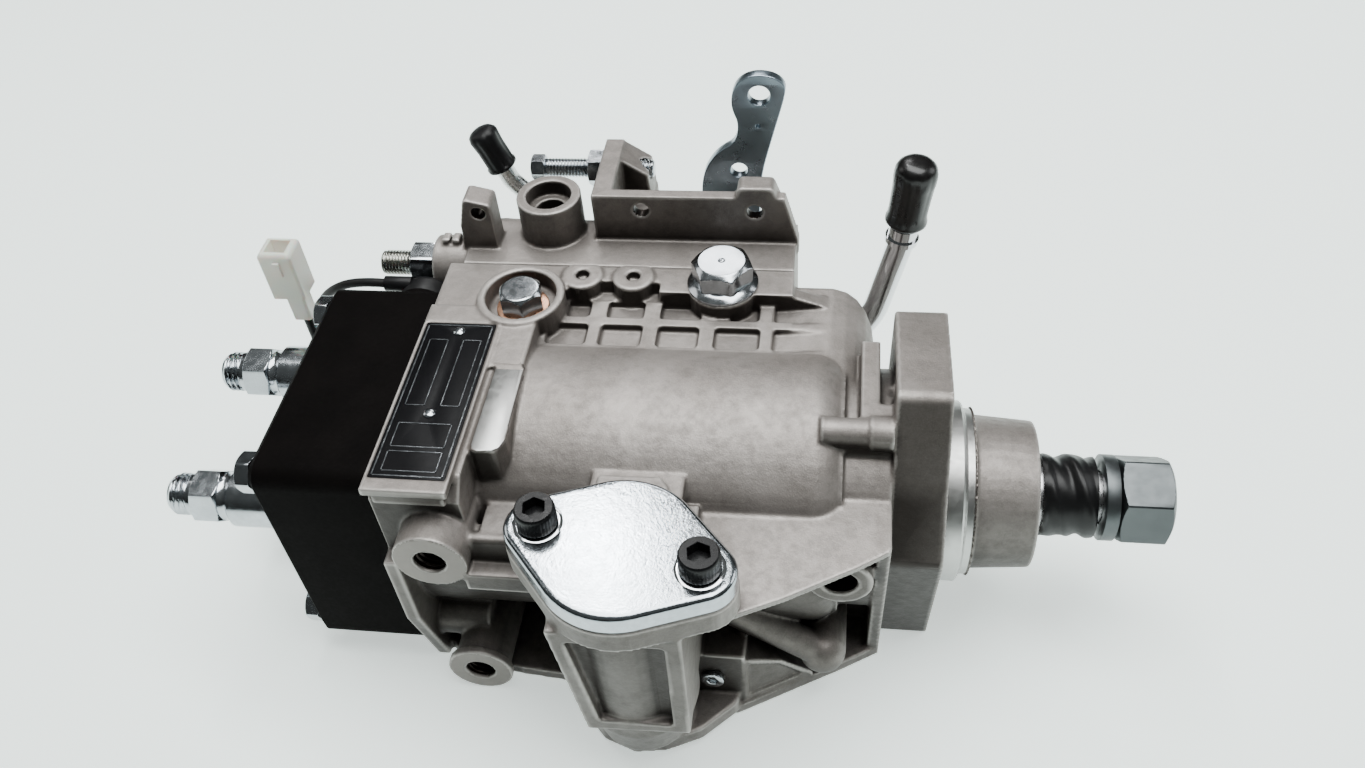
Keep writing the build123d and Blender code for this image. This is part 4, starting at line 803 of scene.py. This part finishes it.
# socket head screws with knurled heads
def socket_screw(sh, origin, direction, base, head_top, shank):
    knurl = lambda th: 5.0 - 0.09 * (0.5 + 0.5 * math.cos(36 * th))
    prof = [(shank, 2.7), (shank + 0.5, 3.0), (base, 3.0), (base, 4.6), (base + 0.25, 4.85), (base + 0.7, knurl), (head_top - 1.1, knurl),
            (head_top - 0.8, 4.95), (head_top - 0.25, 4.75), (head_top, 4.45), (head_top, hexr(5.3, 10)), (head_top - 0.15, hexr(5.05, 10)),
            (head_top - 3.0, hexr(5.0, 10)), (head_top - 3.0, 0.6)]
    sh.turned(origin, direction, prof, 144, 0)


timer_bolts = [(-98.0, -47.9), (-58.0, -58.1)]
sh = Shape()
src = nodes["socket_screws"].data
pts = np.array([vv.co for vv in src.vertices]) * 1000
top = pts[(pts[:, 1] > 58.9)]
cells = {}
for q in top:
    key = None
    for k in cells:
        if math.hypot(k[0] - q[0], k[1] - q[2]) < 12:
            key = k
            break
    cells.setdefault(key or (q[0], q[2]), []).append(q)
for k in sorted(cells):
    q = np.array(cells[k])
    cxm, czm = (q[:, 0].min() + q[:, 0].max()) / 2, (q[:, 2].min() + q[:, 2].max()) / 2
    socket_screw(sh, (cxm, 0, czm), (0, 1, 0), 53.15, 59.1, 41.2)
for x, y in timer_bolts:
    socket_screw(sh, (x, y, 0), (0, 0, 1), 39.15, 45.1, 27.2)
sh.object("black_screws", ("blackscrew",), ("socket_screws",), sharp=35)
sh = Shape()
for x, y in timer_bolts:
    sh.turned((x, y, 0), (0, 0, 1), [(39.0, 5.2), (39.0, 6.1), (39.1, 6.1), (39.25, 5.75), (39.25, 5.2)], 72, caps=False)
sh.object("screw_seats", ("chrome",), (), "casing")

# flanged plug and recess bolt
sh = Shape()
prof = [(31.1, 4.6), (31.5, 5.0), (38.1, 5.0), (38.1, 9.9), (38.35, 10.2), (38.9, 10.15), (39.6, 9.3), (40.0, 8.6), (40.2, 8.2)]
prof += [(40.25, hexr(15.6, 24, 8.7)), (43.6, hexr(15.6, 24, 8.95))]
h = hexr(15.6, 24, 8.95)
for i in range(9):
    rr = 8.95 - (8.95 - 6.9) * i / 8
    prof.append((44.9 + 1.5 * i / 8, lambda th, rr=rr: min(h(th), rr)))
prof += [(46.58, 6.6), (46.6, 6.3), (46.52, 2.6), (46.52, 1.1), (46.2, 0.7), (46.1, 0.2)]
sh.turned((-62.3, 40.9, 0), (0, 0, 1), prof, 120)
sh.object("plug", ("zinc",), ("flanged_plug",), sharp=24)
sh = Shape()
h2 = hexr(11.6, 14)
prof = [(28.6, 3.6), (29.0, 4.0), (36.0, 4.0), (36.0, 5.5), (36.05, h2), (40.6, h2)]
for i in range(8):
    rr = 6.6 - (6.6 - 5.45) * i / 7
    prof.append((41.2 + 1.1 * i / 7, lambda th, rr=rr: min(h2(th), rr)))
prof += [(42.38, 5.2), (42.4, 4.9), (42.34, 0.4)]
sh.turned((-119.5, 31.5, 0), (0, 0, 1), prof, 120)
sh.object("recess_hex", ("zinc",), ("recess_bolt",), sharp=24)
soften("recess_bolt_washer", 0.2)

# sealing plug
soften("sealing_plug", 0.2)

# full load screw, lock nut
sh = Shape()
prof = [(-171.0, 3.2), (-170.6, 3.6)] + thread_profile(-170.4, -161.0, 3.9, 1.0, 0.48) + [(-160.8, 3.5), (-140.2, 3.5), (-140.0, 3.2)]
sh.turned((0, 57, 29), (1, 0, 0), prof, 56, up_hint=(0, 1, 0))
sh.object("full_load_thread", ("thread",), ("full_load_screw",), sharp=32)
sh = Shape()
prof = hex_profile(-160.7, -152.7, 12.0, 10, 0.94, 0.96)
prof = [(-160.3, 3.95), (-160.7, 4.3)] + prof + [(-152.7, 3.95)]
sh.turned((0, 57, 29), (1, 0, 0), prof, 96, up_hint=(0, 1, 0), caps=False)
sh.object("full_load_nut", ("zinc",), ("full_load_locknut",), sharp=28)

# stop screws and their lock nuts
sh = Shape()
sv = np.array([vv.co for vv in nodes["stop_screws"].data.vertices]) * 1000
sets = []
for zc in (46.5, 4.5):
    sets.append((sv[np.abs(sv[:, 2] - zc) < 6][:, 0].min(), zc))
for x, z in sets:
    prof = [(x, 2.9)] + hex_profile(x, x + 4.4, 7.0, 0, 0.93, 0.97)[1:] + [(x + 4.5, 2.6)]
    sh.turned((0, 84, z), (1, 0, 0), prof, 72, 0, up_hint=(0, 1, 0))
    sh.turned((0, 84, z), (1, 0, 0), [(x + 4.2, 2.5)] + thread_profile(x + 4.4, x + 38.0, 3.0, 1.0, 0.45, 6) + [(x + 38.4, 2.6), (x + 38.7, 2.2)],
              44, 1, up_hint=(0, 1, 0))
sh.object("stop_screw_set", ("zinc", "thread"), ("stop_screws",), sharp=32)
sh = Shape()
for x, z in [(-107.7, 46.5), (-90.7, 4.5)]:
    prof = [(x + 0.3, 3.05), (x, 3.4)] + hex_profile(x, x + 5.0, 10.0, 8, 0.94, 0.96) + [(x + 5.0, 3.05)]
    sh.turned((0, 84, z), (1, 0, 0), prof, 96, up_hint=(0, 1, 0), caps=False)
sh.object("stop_nuts", ("zinc",), ("stop_screw_locknuts",), sharp=28)
sh = Shape()
prof = [(86.5, 3.1), (86.5, 3.4)] + hex_profile(86.5, 91.5, 10.0, 0, 0.97, 0.93) + [(91.5, 3.1)]
sh.turned((-58, 0, 20), (0, 1, 0), prof, 96, caps=False)
sh.object("lever_nut", ("zinc",), ("control_lever_nut",), sharp=28)

# shaft nut
sh = Shape()
prof = [(47.1, 7.0), (47.1, 8.0)] + hex_profile(47.1, 61.0, 22.0, 18.6, 0.93, 0.93, 9) + [(61.0, 8.1), (60.3, 7.0)]
sh.turned((0, 0, 0), (1, 0, 0), prof, 144, up_hint=(0, 1, 0), caps=False)
sh.object("drive_nut", ("nut",), ("shaft_nut",), sharp=24)

# wrapped tape, with folds that run round like a screw
def tape_r(th, x):
    t = (x - 27.0) / 14.4
    fold = math.sin(th * 1.0 - t * 9.0)
    fold2 = math.sin(th * 2.0 - t * 14.0 + 1.3)
    fold3 = math.sin(th * 5.0 - t * 21.0 + 0.4)
    r = 10.95 + 0.40 * abs(fold) ** 0.6 * (1 if fold > 0 else -0.6) + 0.28 * fold2 + 0.16 * fold3
    if t < 0.10:
        r += 0.7 * math.sin(th * 7.0 + 0.5) * (1 - t / 0.10) * 0.6
    r -= 0.5 * max(0.0, t - 0.6)
    return max(9.1, min(11.65, r))


sh = Shape()
prof = [(27.6, 8.9)]
for i in range(49):
    x = 27.05 + 14.3 * i / 48
    prof.append((x, lambda th, x=x: tape_r(th, x)))
prof += [(41.3, 9.0)]
sh.turned((0, 0, 0), (1, 0, 0), prof, 120, up_hint=(0, 1, 0), caps=False)
sh.object("wrapped_tape", ("tape",), ("shaft_tape",), sharp=60)

# caps
o = Vector((-11.62, 52, 53.0))
d = Vector((2.9, 0, 28)).normalized()
sh = Shape()
prof = [(0.0, 3.9), (0.0, 5.5), (0.4, 5.85), (1.2, 5.85), (1.8, 5.6), (4.0, 5.45), (9.0, 5.6), (13.2, 5.8), (14.0, 5.95), (16.0, 5.98), (17.4, 5.85),
        (18.6, 5.3), (19.5, 4.4), (20.1, 3.2), (20.35, 1.8), (20.4, 0.6)]
ribs = []
for x, r in prof:
    if 2.5 < x < 17.6:
        ribs.append((x, lambda th, r=r, x=x: r - (0.10 if x < 12 else 0.16) * (0.5 + 0.5 * math.cos(8 * th)) ** 3))
    else:
        ribs.append((x, r))
sh.turned(o, d, ribs, 96)
sh.object("inlet_cap_soft", ("glossblack",), ("inlet_cap",), sharp=50)
o = Vector((-136.06, 85, 46.0))
d = Vector((-7.3, 0, 19.5)).normalized()
sh = Shape()
prof = [(0.0, 3.1), (0.0, 4.5), (0.3, 4.85), (1.0, 4.9), (1.5, 4.55), (8.0, 4.55), (10.5, 4.75), (12.0, 4.88), (12.8, 4.7), (13.6, 3.9), (14.2, 2.6), (14.38, 0.8)]
ribs = []
for x, r in prof:
    if 1.2 < x < 13.0:
        ribs.append((x, lambda th, r=r: r - 0.28 * (0.5 + 0.5 * math.cos(7 * th)) ** 2))
    else:
        ribs.append((x, r))
sh.turned(o, d, ribs, 84)
sh.object("overflow_cap_soft", ("matteblack",), ("overflow_cap",), sharp=50)

# connector on the lead
soften("lead_connector", 0.7, segments=3)

# the lead, one smooth line through its route
route = [(-166.6, 45.2, 30.6), (-177.0, 45.6, 31.0), (-189.0, 48.0, 23.4), (-196.4, 53.0, 11.5), (-198.0, 61.0, -1.0), (-196.0, 65.0, -14.0),
         (-193.5, 58.0, -25.0), (-192.6, 46.0, -24.0), (-193.0, 40.4, -12.0), (-193.2, 40.0, 3.0), (-193.2, 40.0, 21.4)]
cu = bpy.data.curves.new("lead", "CURVE")
cu.dimensions = "3D"
cu.bevel_depth = 1.4 * MM
cu.bevel_resolution = 5
cu.resolution_u = 16
cu.use_fill_caps = True
sp = cu.splines.new("NURBS")
sp.points.add(len(route) - 1)
for pt, q in zip(sp.points, route):
    pt.co = (q[0] * MM, q[1] * MM, q[2] * MM, 1.0)
sp.order_u = 3
sp.use_endpoint_u = True
lead = bpy.data.objects.new("lead", cu)
scene.collection.objects.link(lead)
lead.data.materials.append(mats["rubber"])
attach(lead, "casing")
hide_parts("solenoid_lead")


# ------------------------------------------------------------------ stage
def floor():
    me = bpy.data.meshes.new("floor")
    s = 3.0
    z = cad_lo.z - 0.0002
    me.from_pydata([(-s, -s, z), (s, -s, z), (s, s, z), (-s, s, z)], [], [(0, 1, 2, 3)])
    ob = bpy.data.objects.new("floor", me)
    scene.collection.objects.link(ob)
    m, nt, bs, co = new_mat("floor_paper")
    n = noise(nt, co, 3.0, 2.0)
    tone = ramp(nt, n, [(0.3, (0.806, 0.885, 0.858)), (0.7, (0.818, 0.897, 0.870))])
    nt.links.new(tone, bs.inputs["Base Color"])
    bs.inputs["Roughness"].default_value = 0.85
    bs.inputs["Specular IOR Level"].default_value = 0.1
    nt.links.new(tone, bs.inputs["Emission Color"])
    bs.inputs["Emission Strength"].default_value = 0.95
    ob.data.materials.append(m)
    return ob


floor()


def area(name, loc, target, size, power, color=(1, 1, 1), size_y=None):
    d = bpy.data.lights.new(name, "AREA")
    d.energy = power
    d.color = color
    d.size = size
    if size_y:
        d.shape = "RECTANGLE"
        d.size_y = size_y
    o = bpy.data.objects.new(name, d)
    scene.collection.objects.link(o)
    o.location = loc
    o.rotation_mode = "QUATERNION"
    o.rotation_quaternion = (Vector(target) - Vector(loc)).to_track_quat("-Z", "Y")
    return o


area("key", (-0.297, 0.549, 0.875), (-0.082, -0.052, 0.039), 0.085, 1.35, (1.0, 1.0, 1.0), 0.10)
area("top", (0.0, 0.10, 1.2), (-0.05, 0.0, 0.0), 1.3, 32.0, (0.98, 1.0, 0.99), 0.8)
area("back", (-0.17, 0.86, 0.74), (-0.07, 0.04, 0.046), 0.34, 1.6, (1.0, 1.0, 1.0), 0.16)
area("left", (-1.1, 0.3, 0.6), (-0.1, 0.0, 0.0), 0.5, 1.5, (1.0, 0.99, 0.97))
area("rim", (0.9, 0.35, 0.5), (-0.05, 0.0, 0.0), 0.5, 2.5, (0.97, 0.99, 1.0))

world = bpy.data.worlds.new("studio")
scene.world = world
world.use_nodes = True
wn = world.node_tree
wn.nodes.clear()
wout = wn.nodes.new("ShaderNodeOutputWorld")
wbg = wn.nodes.new("ShaderNodeBackground")
wtc = wn.nodes.new("ShaderNodeTexCoord")
wsep = wn.nodes.new("ShaderNodeSeparateXYZ")
wn.links.new(wtc.outputs["Generated"], wsep.inputs[0])
wr = wn.nodes.new("ShaderNodeValToRGB")
wr.color_ramp.elements[0].position = 0.05
wr.color_ramp.elements[0].color = (0.02, 0.02, 0.02, 1)
wr.color_ramp.elements[1].position = 1.0
wr.color_ramp.elements[1].color = (0.22, 0.235, 0.23, 1)
wn.links.new(wsep.outputs[2], wr.inputs[0])
wn.links.new(wr.outputs[0], wbg.inputs[0])
wbg.inputs[1].default_value = 0.7
wn.links.new(wbg.outputs[0], wout.inputs[0])
